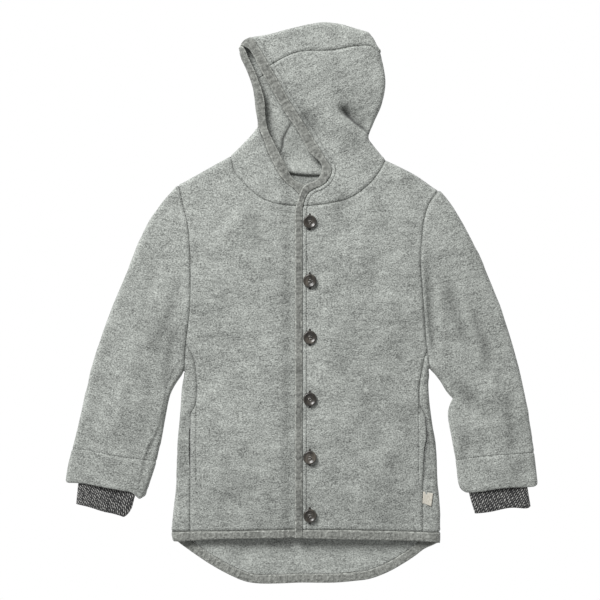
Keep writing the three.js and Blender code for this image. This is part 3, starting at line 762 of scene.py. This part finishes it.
def knit_material(name, slant):
    """Rib knit of dark yarn with short slanted light dashes."""
    made = Surface(name, 0.92, 0.15, 0.5)
    strip = made.attribute("strip")
    round_way, along, _ = made.split(strip)
    wobble = made.noise(strip, KNIT_WOBBLE, rough=0.6)
    leaning = made.math("MULTIPLY_ADD", along, slant, round_way)
    drifting = made.math("MULTIPLY_ADD", round_way, slant * 0.8, along)
    wales = made.math("MULTIPLY_ADD", leaning, turns_a_metre(WALE), made.math("MULTIPLY", wobble, 5.0))
    courses = made.math("MULTIPLY_ADD", drifting, turns_a_metre(COURSE), made.math("MULTIPLY", wobble, 12.0))
    pattern, _ = made.mix([
        (made.math("SINE", wales), 0.3),
        (made.math("SINE", courses), 0.24),
        (made.noise(strip, KNIT_FIBRE, rough=0.6), 0.5),
    ])
    made.link("Base Color", made.ramp(pattern, KNIT_YARN))
    made.link("Normal", made.bump(pattern, 0.0012, 0.9))
    return made.material


def horn_material():
    """Dark polished horn with a lighter swirl."""
    made = Surface("horn", 0.36)
    place = made.node("ShaderNodeTexCoord", {}).outputs["Object"]
    swirl = made.noise(place, HORN_GRAIN, detail=3, rough=0.6, stretch=(1, 0.3, 1))
    made.link("Base Color", made.ramp(swirl, HORN_SWIRL))
    made.set("Coat Weight", 0.5)
    made.set("Coat Roughness", 0.28)
    return made.material


def tape_material():
    """Woven cream cotton tape."""
    made = Surface("tape", 0.85)
    threads = made.noise(made.attribute("strip"), TAPE_WEAVE, detail=1, stretch=(1, 0.35, 1))
    made.link("Base Color", made.ramp(threads, TAPE_THREADS))
    made.link("Normal", made.bump(threads, 0.0004, 0.7))
    return made.material


def thread_material(name, colour, rough):
    made = Surface(name, rough)
    made.set("Base Color", (*colour, 1))
    return made.material


# Texture cells a metre
WOOL_SPECKS = 640
WOOL_CLUMPS = 210
WOOL_CLOUDS = 40
WOOL_HAIRS = 1500
JERSEY_SPECKS = 470
JERSEY_RIBS = 250
KNIT_WOBBLE = 260
KNIT_FIBRE = 700
HORN_GRAIN = 160
TAPE_WEAVE = 900
# How far the melanges' dark and light yarn lie from the middle one, and how much shade is painted into seams
# and stitches
WOOL_SPREAD = 0.22
JERSEY_SPREAD = 0.14
STITCH_WIDTH = 0.7
STITCH_SHADE = 0.25
SEAM_SHADE_WIDTH = 1.2
SEAM_SHADE = 0.16
KNIT_YARN = [
    (0, (0.018, 0.018, 0.019)),
    (0.3, (0.04, 0.04, 0.041)),
    (0.46, (0.17, 0.17, 0.166)),
    (0.62, (0.54, 0.54, 0.515)),
]
HORN_SWIRL = [(0.35, (0.028, 0.025, 0.021)), (0.5, (0.05, 0.044, 0.036)), (0.66, (0.12, 0.105, 0.086))]
TAPE_THREADS = [(0.35, (0.55, 0.52, 0.44)), (0.65, (0.74, 0.71, 0.63))]
# The three shades of each melange: dark, middle, light
wool = wool_material("wool", (0.1, 0.37, 0.66))
wool_inside = wool_material("wool_inside", (0.14, 0.4, 0.66))
jersey = jersey_material("jersey", (0.11, 0.22, 0.36), 0.0012, edge_highlight=0.65)
jersey_hem = jersey_material("jersey_hem", (0.17, 0.27, 0.42), 0.003, edge_highlight=0.25)
horn = horn_material()
tape = tape_material()
thread = thread_material("thread", (0.42, 0.41, 0.38), 0.8)
dark_thread = thread_material("thread_dark", (0.05, 0.048, 0.045), 0.75)


def finish_mesh(name, vertices, faces, surface, attributes=None, inside=None, inner_faces=None):
    """A piece from points in millimetres, with its inner faces in their own material if it has one."""
    mesh = bpy.data.meshes.new(name)
    mesh.from_pydata((np.asarray(vertices) * MM).tolist(), [], [list(map(int, face)) for face in faces])
    mesh.polygons.foreach_set("use_smooth", [True] * len(mesh.polygons))
    mesh.materials.append(surface)
    if inside is not None:
        mesh.materials.append(inside)
        mesh.polygons.foreach_set("material_index", inner_faces)
    for label, values in (attributes or {}).items():
        layer = mesh.attributes.new(label, "FLOAT_VECTOR", "POINT")
        layer.data.foreach_set("vector", (np.asarray(values) * MM).ravel())
    mesh.update()
    piece = bpy.data.objects.new(name, mesh)
    bpy.context.scene.collection.objects.link(piece)
    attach(piece, "root")
    return piece


# The outer face's relief along seams, and how much shade is painted into a crease for each millimetre of its
# depth
SEAM_WIDTH = 1.5
SEAM_DEPTH = 1.1
SEAM_REACH = 16
ALLOWANCE_RISE = 0.45
ALLOWANCE_PLACE = 3.6
ALLOWANCE_WIDTH = 1.8
STITCH_DEPTH = 0.45
TUCK = 0.35
CREASE_SHADOW = 0.075
STEP_SHADOW = 0.14
SLIT_DROP = 1.8
SLIT_SHADOW = 0.14
DARKEST = 0.8
# Where a step or slit starts and ends beside its line, and where the shade painted beside a step does
STEP_FACE = (-0.5, 2.5)
SLIT_FACE = (-0.5, 3)
STEP_DARK = (-1.2, 0.6)
STEP_DARK_REACH = 4
DIMPLE_DEPTH = 0.9
DIMPLE_WIDTH = 13
# Chance unevenness of each layer: height, cell, seed
UNEVEN_TOP = [(0.9, 34, 3), (0.5, 15, 1), (0.22, 8, 2)]
UNEVEN_BOTTOM = [(0.5, 22, 5), (0.3, 11, 6)]
# What shows of the bottom layer in the hood's mouth: a fold, the neck seam and the fullness over it
MOUTH_MIDDLE = -5
MOUTH_WIDTH = 45
MOUTH_FOLD_RISE = 4
MOUTH_FOLD_FACE = (-0.4, 1.8)
MOUTH_FOLD_CREST = 3
MOUTH_FOLD_REACH = 13
FULLNESS_RISE = 4.2
FULLNESS_FACE = (-0.3, 3)
FULLNESS_CREST = 4
FULLNESS_REACH = 10
# The shade painted there: dark lines along the fold and the neck seam, and shade beside them: how dark, where
# beside the fold or the seam, and how wide
FOLD_LINE_SHADOW = 0.85
FOLD_LINE_PLACE = -0.3
FOLD_LINE_WIDTH = 2
BESIDE_FOLD_SHADOW = 0.2
BESIDE_FOLD_WIDTH = 7
NECK_LINE_SHADOW = 0.45
NECK_LINE_PLACE = -0.4
NECK_LINE_WIDTH = 1.2
BELOW_NECK_SHADOW = 0.16
BELOW_NECK_WIDTH = 14

distance_to = {name: nearest(plan, line, SEAM_REACH) for name, line in lines.items()}


def groove(names):
    """How far the outer face sinks along those seams, with the seam allowance standing out beside each."""
    depth = np.zeros(count)
    for name in names:
        distance = distance_to[name][0]
        depth -= SEAM_DEPTH * bell(distance, SEAM_WIDTH)
        depth += ALLOWANCE_RISE * bell(distance - ALLOWANCE_PLACE, ALLOWANCE_WIDTH)
    return depth


def uneven(points, step, seed):
    """Smooth chance heights between -1 and 1, the same in every run."""
    cells = math.ceil(2 * UNEVEN_REACH / step)
    table = np.random.default_rng(seed).uniform(-1, 1, (cells + 1, cells + 1))
    place = (points + UNEVEN_REACH) / step
    low = np.floor(place).astype(int)
    share = place - low
    share = share * share * (3 - 2 * share)
    i, j = low.T
    u, v = share.T
    near_row = table[i, j] * (1 - u) + table[i + 1, j] * u
    far_row = table[i, j + 1] * (1 - u) + table[i + 1, j + 1] * u
    return near_row * (1 - v) + far_row * v


def signed(name):
    """Distance from the line at each point of the plan, more than zero on its left-hand side."""
    distance, _, side = distance_to[name]
    return np.where(np.isfinite(distance), side * np.where(np.isfinite(distance), distance, 0), -FAR_AWAY)


def taper(name):
    """One at the line's middle, none at its ends."""
    share = distance_to[name][1] / arc(lines[name])[-1]
    return np.sqrt(np.clip(4 * share * (1 - share), 0, 1))


def pocket_share(side):
    """How open the pocket is beside each point: one at its middle, none past its ends."""
    top, bottom = POCKETS[side]
    share = np.clip((plan[:, 1] - bottom) / (top - bottom), 0, 1)
    return np.sin(math.pi * share)


def top_relief():
    """The top layer's height over its plain form, and the shade painted into its colour in creases, steps and
    pocket slits.
    """
    relief = np.zeros(count)
    shadow = np.zeros(count)
    for rise, width, way in CREASES:
        way = smooth(way, SEAM_STEP)
        distance, along, _ = nearest(plan, way, 3 * width)
        share = np.clip(along / arc(way)[-1], 0, 1)
        here = bell(distance, width) * np.sqrt(4 * share * (1 - share)).clip(0.25, 1)
        relief += rise * here
        # Painted shade in the crease, darker the deeper it sinks
        shadow += CREASE_SHADOW * max(-rise, 0) * here
    for rise, reach, name in STEPS:
        beyond = signed(name)
        raised = smoothstep(beyond, *STEP_FACE) * bell(np.maximum(beyond - STEP_FACE[1], 0), reach)
        darkened = smoothstep(beyond, *STEP_DARK) * bell(np.maximum(beyond - 1, 0), STEP_DARK_REACH)
        relief += rise * raised * taper(name)
        # Painted shade on the sunk side of the step
        shadow -= STEP_SHADOW * rise * darkened * taper(name)
    for side, outwards in (("left", 1), ("right", -1)):
        seam = lines[f"side_{side}"][::-1]
        gap = outwards * (plan[:, 0] - np.interp(plan[:, 1], seam[:, 1], seam[:, 0]))
        beyond_slit = smoothstep(gap, *SLIT_FACE) * (np.abs(gap) < FAR_AWAY)
        beyond_slit *= smoothstep(pocket_share(side), 0, 0.4)
        relief -= SLIT_DROP * beyond_slit
        # Painted shade beyond the pocket slit, where the cloth drops away
        shadow += SLIT_SHADOW * beyond_slit
    for y in BUTTON_ROWS:
        relief -= DIMPLE_DEPTH * bell(np.hypot(plan[:, 0] - BUTTON_X, plan[:, 1] - y), DIMPLE_WIDTH)
    relief *= smoothstep(rim, 0, FOLD_RADIUS)
    relief += sum(height * uneven(plan, cell, seed) for height, cell, seed in UNEVEN_TOP)
    relief[is_outline] = 0
    return relief, shadow


def bottom_relief():
    """The hood's lower layer in its mouth: a fold by the bound edge, fullness over the neck seam, painted
    shade along both.
    """
    beside_fold = signed("hood_fold")
    over_neck = signed("neck_back")
    in_mouth = bell(plan[:, 0] - MOUTH_MIDDLE, MOUTH_WIDTH)
    fold = smoothstep(beside_fold, *MOUTH_FOLD_FACE)
    fold *= bell(np.maximum(beside_fold - MOUTH_FOLD_CREST, 0), MOUTH_FOLD_REACH)
    fullness = smoothstep(over_neck, *FULLNESS_FACE)
    fullness *= bell(np.maximum(over_neck - FULLNESS_CREST, 0), FULLNESS_REACH)
    rise = MOUTH_FOLD_RISE * fold * taper("hood_fold") + FULLNESS_RISE * fullness * in_mouth
    rise += sum(height * uneven(plan, cell, seed) for height, cell, seed in UNEVEN_BOTTOM)
    rise *= smoothstep(rim, 0.5 * FOLD_RADIUS, FOLD_RADIUS)
    # Painted shade along the fold line and beside it, along the neck seam and below it
    on_line = bell(beside_fold - FOLD_LINE_PLACE, FOLD_LINE_WIDTH)
    shadow = FOLD_LINE_SHADOW * on_line * np.sqrt(taper("hood_fold"))
    beside = bell(np.minimum(beside_fold, 0), BESIDE_FOLD_WIDTH)
    shadow += BESIDE_FOLD_SHADOW * beside * smoothstep(-beside_fold, 0, 1)
    shadow += NECK_LINE_SHADOW * bell(over_neck - NECK_LINE_PLACE, NECK_LINE_WIDTH) * in_mouth
    shadow += BELOW_NECK_SHADOW * smoothstep(-over_neck, 0, 2) * (np.abs(over_neck) < BELOW_NECK_WIDTH)
    return rise, shadow


relief, top_shadow = top_relief()
inner_rise, bottom_shadow = bottom_relief()
# The shade painted into both layers' colour, handed to the materials as the shadow attribute
darkness = np.zeros((2 * count, 3))
darkness[:, 0] = np.clip(np.concatenate([top_shadow, bottom_shadow]), 0, DARKEST) / MM


def edge_tucks():
    """How far each skin point draws back where it is on a panel's edge: more along the pocket slits."""
    tucks = np.full((2 * count, 1), TUCK)
    for side in POCKETS:
        at_slit = distance_to[f"side_{side}"][0] < 0.5
        tucks[:count, 0] += np.where(at_slit, POCKET_SLIT / 2 * pocket_share(side), 0)
    return tucks


TUCKS = edge_tucks()


def stitch_lines(name, seams=((), ())):
    """At each skin point: distance to the panel's stitch line, length along it, distance to its seam."""
    place = np.zeros((2 * count, 3))
    place[:, [0, 2]] = FAR_AWAY
    for layer, names in enumerate(seams):
        part = place[layer * count : (layer + 1) * count]
        for seam in names:
            part[:, 2] = np.minimum(part[:, 2], distance_to[seam][0])
    for line, panels in STITCHES.items():
        distance, along, _ = distance_to[line]
        if name in panels:
            closer = distance < place[:count, 0]
            place[:count, 0][closer] = distance[closer]
            place[:count, 1][closer] = along[closer]
    return place


def free_edges(faces, n):
    """The edges that only one face has, in that face's direction."""
    directed = np.vstack([faces[:, [0, 1]], faces[:, [1, 2]], faces[:, [2, 0]]])
    there = directed[:, 0] * n + directed[:, 1]
    back = directed[:, 1] * n + directed[:, 0]
    return directed[~np.isin(there, back)]


def outward(points, normals, free):
    """At each point on a free edge, the way out of the panel along its surface."""
    way = np.zeros_like(points)
    sideways = np.cross(points[free[:, 1]] - points[free[:, 0]], normals[free[:, 0]])
    sideways /= np.maximum(np.linalg.norm(sideways, axis=1, keepdims=True), 1e-9)
    for corner in (0, 1):
        np.add.at(way, free[:, corner], sideways)
    length = np.linalg.norm(way, axis=1, keepdims=True)
    return np.where(length > 1e-6, way / np.maximum(length, 1e-9), 0)


def panel_faces(name):
    """The panel's triangles of skin points, top layer first."""
    faces = []
    if name in TOP:
        faces.append(triangles[TOP[name]])
    if name in BOTTOM:
        faces.append(bottom_index[triangles[BOTTOM[name]]][:, ::-1])
    return np.vstack(faces)


def shell(name, outer, inner, surface, turn=0.0, strip=None, inside=None, seams=((), ())):
    """Cuts a panel from the skin: outer and inner are its faces' offsets along the normal."""
    points, normals = SKINS["under" if name in UNDER else "over"]
    used, local = np.unique(panel_faces(name), return_inverse=True)
    local = local.reshape(-1, 3)
    n = len(used)
    p = points[used]
    normal = normals[used]
    free = free_edges(local, n)
    drawn_back = outward(p, normal, free) * TUCKS[used]
    over = normal * outer[used][:, None]
    beneath = normal * inner[used][:, None]
    on_edge = np.unique(free)
    middle_of = np.full(n, -1)
    middle_of[on_edge] = 2 * n + np.arange(len(on_edge))
    a, b = free.T
    walls = np.vstack([
        np.column_stack([b, a, middle_of[a], middle_of[b]]),
        np.column_stack([middle_of[b], middle_of[a], a + n, b + n]),
    ])
    middle = p + (over + beneath) / 2
    vertices = np.vstack([p + over - drawn_back, p + beneath - drawn_back, middle[on_edge]])
    faces = [*local.tolist(), *(local[:, ::-1] + n).tolist(), *walls.tolist()]
    inner_faces = np.zeros(len(faces), int)
    inner_faces[len(local) : 2 * len(local)] = 1
    c, s = math.cos(turn), math.sin(turn)

    def on_all(values):
        """The same values on the outer face, the inner face and the walls."""
        return np.vstack([values[used], values[used], values[used][on_edge]])

    attributes = {
        "grain": vertices @ np.array([[c, s, 0], [-s, c, 0], [0, 0, 1]]).T,
        "stitch": on_all(stitch_lines(name, seams)),
        "shadow": on_all(darkness),
    }
    if strip is not None:
        attributes["strip"] = on_all(np.tile(strip, (2, 1)))
    piece = finish_mesh(f"{name}_cloth", vertices, faces, surface, attributes, inside, inner_faces)
    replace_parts(piece, name)


def both(top_values, bottom_values):
    """Offsets for the whole skin, from those of its two layers."""
    return np.concatenate([top_values, bottom_values])


flat_zero = np.zeros(count)
PANELS = [
    # name, top seams, bottom seams, grain's turn in degrees
    ("back", ("armhole_left", "armhole_right", "side_left", "side_right", "hem_seam"),
        ("neck_back", "tail_seam"), 0),
    ("front_left", ("armhole_left", "side_left", "neck_front", "near_seam", "hem_seam"), (), 0),
    ("front_right", ("armhole_right", "side_right", "neck_front", "hem_seam"), (), 0),
    ("sleeve_left", ("armhole_left",), ("armhole_left",), 17),
    ("sleeve_right", ("armhole_right",), ("armhole_right",), -17),
    ("hood_left", ("neck_front", "near_seam", "gusset_seam"), (), 24),
    ("hood_right", ("neck_front", "far_seam"), (), -24),
    ("hood_centre", ("near_seam", "gusset_seam"), (), 0),
]


def turned_up_hem(side):
    """A sleeve's hem stands out below its row of stitches, and is drawn in at its end."""
    below_stitch = np.minimum(-signed(f"sleeve_stitch_{side}"), SEAM_REACH)
    end = distance_to[f"sleeve_hem_{side}"][0]
    return both(HEM_PROUD * smoothstep(below_stitch, 0, 3) - HEM_DRAWN_IN * bell(end, 1.4), flat_zero)


def make_panels():
    for name, top_seams, bottom_seams, turn in PANELS:
        outer = both(groove(top_seams) + relief, flat_zero)
        outer -= STITCH_DEPTH * bell(stitch_lines(name)[:, 0], 1)
        if name.startswith("sleeve"):
            outer += turned_up_hem(name.removeprefix("sleeve_"))
        inner = both(relief - WOOL, -WOOL - inner_rise)
        seams = (top_seams, bottom_seams)
        shell(name, outer, inner, wool, math.radians(turn), inside=wool_inside, seams=seams)


BANDS = [
    # name, edge, seam, width, material
    ("binding_left", "near_edge", "near_seam", 13, jersey),
    ("binding_right", "far_edge", "far_seam", 13, jersey),
    ("hem_left", "hem_edge", "hem_seam", 11, jersey_hem),
    ("hem_right", "hem_edge", "hem_seam", 11, jersey_hem),
    ("hem_back", "tail_edge", "tail_seam", 12, jersey_hem),
]


def band_shape(edge, seam, width):
    """The binding's outer face, crowned across, and its coordinates: along, across, to its painted
    highlights.
    """
    from_edge, along, _ = distance_to[edge]
    from_seam = distance_to[seam][0]
    with np.errstate(invalid="ignore"):
        across = np.clip(from_edge / np.maximum(from_edge + from_seam, 1e-6), 0, 1)
    crown = BINDING_CROWN * (1 - (2 * across - 1) ** 8)
    to_highlight = np.minimum(np.minimum(from_edge - EDGE_HIGHLIGHT_INSET, from_seam - SEAM_HIGHLIGHT_INSET), FAR_AWAY)
    strip = np.column_stack([along, across * width, to_highlight])
    return np.nan_to_num(crown - BINDING_SUNK), np.nan_to_num(strip)


def make_bands():
    for name, edge, seam, width, surface in BANDS:
        shape, strip = band_shape(edge, seam, width)
        if name in TOP:
            outer = both(shape + relief, flat_zero)
            inner = both(relief, flat_zero) + BINDING_PROUD - BINDING
        else:
            outer = np.zeros(2 * count)
            inner = both(flat_zero, -BINDING - shape)
        shell(name, outer, inner, surface, strip=strip)


def slab(name, over, beneath, surface, strip):
    """A thin closed piece between two grids of points whose rows go towards +Y and columns towards +X."""
    rows, columns = over.shape[:2]
    n = rows * columns
    index = np.arange(n).reshape(rows, columns)
    quads = np.stack([index[:-1, :-1], index[:-1, 1:], index[1:, 1:], index[1:, :-1]], -1).reshape(-1, 4)
    edge = np.concatenate([index[0, :-1], index[:-1, -1], index[-1, :0:-1], index[:0:-1, 0]])
    after = np.roll(edge, -1)
    walls = np.column_stack([edge, edge + n, after + n, after])
    vertices = np.vstack([over.reshape(-1, 3), beneath.reshape(-1, 3)])
    faces = np.vstack([quads, quads[:, ::-1] + n, walls])
    return finish_mesh(name, vertices, faces, surface, {"strip": np.tile(strip.reshape(-1, 3), (2, 1))})


def surface_height(points):
    """Height of the top layer's outer face, with its creases."""
    closest = np.linalg.norm(plan[None] - points[:, None], axis=-1).argmin(1)
    return top_height(points) + relief[closest]


def make_label():
    """The cream tab, which stands up a little towards its free end."""
    across, up = np.meshgrid(np.linspace(0, 1, 15), np.linspace(0, 1, 19))
    top_left, top_right, bottom_right, bottom_left = (np.array(corner, float) for corner in LABEL)
    low = bottom_left + across[..., None] * (bottom_right - bottom_left)
    high = top_left + across[..., None] * (top_right - top_left)
    flat = low + up[..., None] * (high - low)
    height = top_height(flat.reshape(-1, 2)).reshape(across.shape)
    height += LABEL_CURL * across**3 + LABEL_BOW * np.sin(math.pi * up)
    over = np.dstack([flat, height + LABEL_CLEAR + LABEL_THICKNESS])
    beneath = np.dstack([flat, height + LABEL_CLEAR])
    strip = np.dstack([LABEL_SIZE[0] * across, LABEL_SIZE[1] * up, np.zeros_like(up)])
    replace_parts(slab("label_tape", over, beneath, tape, strip), "label")


def rope(name, paths, radius, surface, sides=8):
    """Round threads along some open paths, in one piece."""
    vertices = []
    faces = []
    for path in paths:
        way = np.gradient(path, axis=0)
        way /= np.linalg.norm(way, axis=1, keepdims=True)
        side_way = np.cross(way, ROPE_SIDE)
        side_way /= np.linalg.norm(side_way, axis=1, keepdims=True)
        up_way = np.cross(side_way, way)
        first = len(vertices)
        for p, a, b in zip(path, side_way, up_way):
            for k in range(sides):
                angle = 2 * math.pi * k / sides
                vertices.append(p + radius * (math.cos(angle) * a + math.sin(angle) * b))
        for here in range(first, len(vertices) - sides, sides):
            there = here + sides
            for k in range(sides):
                after = (k + 1) % sides
                faces.append([here + k, here + after, there + after, there + k])
        faces.append([first + k for k in reversed(range(sides))])
        faces.append([len(vertices) - sides + k for k in range(sides)])
    return finish_mesh(name, vertices, faces, surface)


def circle(radius, sides):
    turns = np.linspace(0, 2 * math.pi, sides, endpoint=False)
    return radius * np.column_stack([np.cos(turns), np.sin(turns)])


def button_form():
    """Points and faces of a button with a raised rim, a dish and four holes, standing on z = 0."""
    rings = [circle(radius, max(8, round(radius * 8))) for radius in BUTTON_RINGS]
    hole_middles = [np.array([x, y]) * BUTTON_HOLES_APART / 2 for x in (-1, 1) for y in (-1, 1)]
    loops = [rings[-1], *(middle + circle(BUTTON_HOLE, 16) for middle in hole_middles)]
    ring_points = np.vstack(rings)
    clear = np.linalg.norm(ring_points, axis=1) < BUTTON_RINGS[-1] - 0.05
    for middle in hole_middles:
        clear &= np.linalg.norm(ring_points - middle, axis=1) > BUTTON_HOLE + 0.25
    edges = []
    first = 0
    for loop in loops:
        edges += [(first + i, first + (i + 1) % len(loop)) for i in range(len(loop))]
        first += len(loop)
    flat = np.vstack([*loops, ring_points[clear]])
    found = delaunay_2d_cdt([Vector(p) for p in flat], edges, [], 0, 1e-5, False)
    points = np.array([tuple(p) for p in found[0]])
    parts = np.array(found[2])
    part_middles = points[parts].mean(1)
    solid = np.linalg.norm(part_middles, axis=1) < BUTTON_RINGS[-1]
    for middle in hole_middles:
        solid &= np.linalg.norm(part_middles - middle, axis=1) > BUTTON_HOLE * 0.98
    parts = anticlockwise(points, parts[solid])
    n = len(points)
    radius = np.linalg.norm(points, axis=1)
    over = np.column_stack([points, np.interp(radius, *zip(*BUTTON_TOP))])
    beneath = np.column_stack([points, np.interp(radius, *zip(*BUTTON_UNDERSIDE))])
    free = free_edges(parts, n)
    walls = np.column_stack([free[:, 0], free[:, 0] + n, free[:, 1] + n, free[:, 1]])
    return np.vstack([over, beneath]), [*parts.tolist(), *(parts[:, ::-1] + n).tolist(), *walls.tolist()]


def thread_paths():
    """Two stitches across the button's dish, which turn down into its holes."""
    half = BUTTON_HOLES_APART / 2
    share = np.linspace(-1, 1, 9)
    lift = BUTTON_TOP[0][1] + THREAD_LIFT - THREAD_DIP * np.abs(share) ** 6
    return [np.column_stack([share * half, np.full_like(share, side), lift]) for side in (-half, half)]


def make_buttons():
    points, faces = button_form()
    for number, (y, turn, tilt) in enumerate(zip(BUTTON_ROWS, BUTTON_TURNS, BUTTON_TILTS), 1):
        low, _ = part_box(f"button_{number}")
        tilted = Matrix.Rotation(math.radians(tilt), 3, "Y") @ Matrix.Rotation(math.radians(turn), 3, "Z")
        turned = np.array(tilted).T
        place = np.array([BUTTON_X, y, low[2] / MM + BUTTON_CLEAR])
        button = finish_mesh(f"button_{number}_horn", points @ turned + place, faces, horn)
        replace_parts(button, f"button_{number}")
        paths = [path @ turned + place for path in thread_paths()]
        rope(f"button_{number}_thread", paths, THREAD_RADIUS, thread)
        make_buttonhole(number, y)


def make_buttonhole(number, y):
    """A worked slit behind the button: two rows of dark thread that meet at the ends."""
    across, up = np.meshgrid(np.linspace(-1, 1, 9), np.linspace(-1, 1, BUTTONHOLE_STITCHES))
    narrow = np.sqrt(np.clip(1 - up**8, 0, 1))
    flat = np.dstack([BUTTON_X + across * narrow * BUTTONHOLE_WIDTH / 2, y + up * BUTTONHOLE / 2])
    height = surface_height(flat.reshape(-1, 2)).reshape(across.shape)
    worked = BUTTONHOLE_RISE * np.sqrt(np.clip(1 - (2 * np.abs(across) - 1) ** 2, 0, 1)) * narrow
    stitches = np.sin(up * BUTTONHOLE_STITCHES * math.pi / 2)
    worked += BUTTONHOLE_STITCH_RISE * stitches * (1 - np.abs(across))
    over = np.dstack([flat, height + worked])
    beneath = np.dstack([flat, height - BUTTONHOLE_DEPTH])
    strip = np.dstack([across, up, np.zeros_like(up)])
    slab(f"buttonhole_{number}", over, beneath, dark_thread, strip)


def along_line(line, shares):
    """Points at those shares of the length of a smooth line."""
    line = smooth(line, 2)
    along = arc(line) / arc(line)[-1]
    return np.column_stack([np.interp(shares, along, line[:, k]) for k in (0, 1)])


def cuff_plan(left, right, end, across, down):
    """The flattened cuff seen from above, filled in between its two edges and its two ends."""
    left_edge = along_line(left, down)[:, None]
    right_edge = along_line(right, down)[:, None]
    u = across[None, :, None]
    t = down[:, None, None]
    start = (1 - u) * left_edge[:1] + u * right_edge[:1]
    finish = along_line(end, across)[None]
    corners = (1 - t) * start + t * ((1 - u) * finish[:, :1] + u * finish[:, -1:])
    width = np.linalg.norm(right_edge - left_edge, axis=-1)
    return (1 - u) * left_edge + u * right_edge + (1 - t) * start + t * finish - corners, width


def cuff_wall(wall, flat, across, inside, rib, wavy, end_rounding):
    """One face of the tube, over the top and back beneath: the outer one, or the one that far inside it."""
    depth = np.clip(CUFF_FOLD - inside, 0, CUFF_FOLD)
    share = (CUFF_FOLD - wall) / CUFF_FOLD
    fold = np.sqrt(CUFF_FOLD**2 - depth**2) * share
    loft_there = CUFF_LOFT * (1 - bell(inside - CUFF_FOLD, CUFF_LOFT_REACH)) * (inside > CUFF_FOLD)
    drawn_in = (CUFF_FOLD - depth * share - inside).clip(0) if wall else 0
    x = flat[..., 0] + np.where(across < 0.5, 1, -1)[None] * drawn_in
    middle = CUFF_FLOOR + CUFF_FOLD
    over = np.dstack([x, flat[..., 1], middle + fold * end_rounding + loft_there + rib + wavy])
    beneath = np.dstack([x, flat[..., 1], middle - fold - rib * UNDERSIDE_RIB])
    return np.concatenate([over, beneath[:, -2:0:-1]], 1)


def make_cuff(side):
    """A flattened knitted tube, from inside the sleeve to its free end."""
    left, right, end, slant = CUFFS[side]
    steps = np.linspace(-1, 1, CUFF_ACROSS)
    rounded = np.sin(steps * math.pi / 2 * CUFF_SAMPLED_TO)
    across = (rounded / rounded[-1] + steps) / 4 + 0.5
    down = np.linspace(0, 1, CUFF_DOWN)
    flat, width = cuff_plan(left, right, end, across, down)
    inside = np.minimum(across, 1 - across)[None] * width
    wales = np.round(width.mean() / WALE)
    rib = RIB_DEPTH * (np.abs(np.sin(math.pi * wales * across))[None] - 0.5)
    height, cell, seed = CUFF_WAVE
    wavy = height * uneven(flat.reshape(-1, 2), cell, seed).reshape(inside.shape)
    end_rounding = 1 - CUFF_END_ROUNDING * bell((1 - down[:, None]) * CUFF_LENGTH, CUFF_END_WIDTH)
    outer = cuff_wall(0, flat, across, inside, rib, wavy, end_rounding)
    inner = cuff_wall(WOOL, flat, across, inside, 0, wavy, 1)
    rows, round_count = outer.shape[:2]
    n = rows * round_count
    index = np.arange(n).reshape(rows, round_count)
    after = np.roll(index, -1, axis=1)
    quads = np.stack([index[:-1], index[1:], after[1:], after[:-1]], -1).reshape(-1, 4)
    ends = [
        np.column_stack([index[0], after[0], after[0] + n, index[0] + n]),
        np.column_stack([after[-1], index[-1], index[-1] + n, after[-1] + n]),
    ]
    vertices = np.vstack([outer.reshape(-1, 3), inner.reshape(-1, 3)])
    faces = np.vstack([quads, quads[:, ::-1] + n, *ends])
    strip = np.zeros((rows, round_count, 3))
    strip[..., 0] = np.concatenate([across, 2 - across[-2:0:-1]]) * width.mean()
    strip[..., 1] = down[:, None] * CUFF_LENGTH
    attributes = {"strip": np.tile(strip.reshape(-1, 3), (2, 1))}
    surface = knit_material(f"rib_knit_{side}", slant)
    cuff = finish_mesh(f"cuff_{side}_knit", vertices, faces, surface, attributes)
    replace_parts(cuff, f"cuff_{side}")


LIGHTS = [
    # name, place, size, power
    ("key", (-2.0, 3.0, 2.8), 1.9, 246),
    ("fill", (0.4, -1.2, 1.9), 1.6, 4),
]
WORLD_LIGHT = 0.24
FLOOR_SIZE = 30
FLOOR_GAP = 0.0004
# The photograph's frame is this wide at the jacket's height, and its middle is here
FRAME_WIDTH = 0.78
FRAME_MIDDLE = (-0.00325, 0.00715)
JACKET_HEIGHT = 0.01
FOCAL_LENGTH = 85
SENSOR_WIDTH = 36


def make_lights():
    world = bpy.data.worlds.new("studio")
    bpy.context.scene.world = world
    world.use_nodes = True
    background = world.node_tree.nodes["Background"]
    background.inputs["Color"].default_value = (1, 1, 1, 1)
    background.inputs["Strength"].default_value = WORLD_LIGHT
    for name, place, size, power in LIGHTS:
        light = bpy.data.lights.new(name, "AREA")
        light.size = size
        light.energy = power
        lamp = bpy.data.objects.new(name, light)
        lamp.location = place
        lamp.rotation_euler = (-Vector(place)).to_track_quat("-Z", "Y").to_euler()
        bpy.context.scene.collection.objects.link(lamp)


def make_floor():
    """A white floor that gives off its own light, so that it is evenly white in the picture."""
    bpy.ops.mesh.primitive_plane_add(size=FLOOR_SIZE, location=(0, 0, -FLOOR_GAP))
    floor = bpy.context.object
    floor.name = "floor"
    white = Surface("floor", 0.9)
    white.set("Base Color", (0, 0, 0, 1))
    white.set("Specular IOR Level", 0)
    white.set("Emission Color", (1, 1, 1, 1))
    white.set("Emission Strength", 1)
    floor.data.materials.append(white.material)


def make_camera():
    lens = bpy.data.cameras.new("camera")
    lens.lens = FOCAL_LENGTH
    lens.sensor_width = SENSOR_WIDTH
    camera = bpy.data.objects.new("camera", lens)
    camera.location = (*FRAME_MIDDLE, FOCAL_LENGTH / SENSOR_WIDTH * FRAME_WIDTH + JACKET_HEIGHT)
    bpy.context.scene.collection.objects.link(camera)
    bpy.context.scene.camera = camera


make_panels()
make_bands()
make_label()
make_buttons()
for side in CUFFS:
    make_cuff(side)
make_lights()
make_floor()
make_camera()

bpy.context.scene.view_settings.view_transform = "Standard"
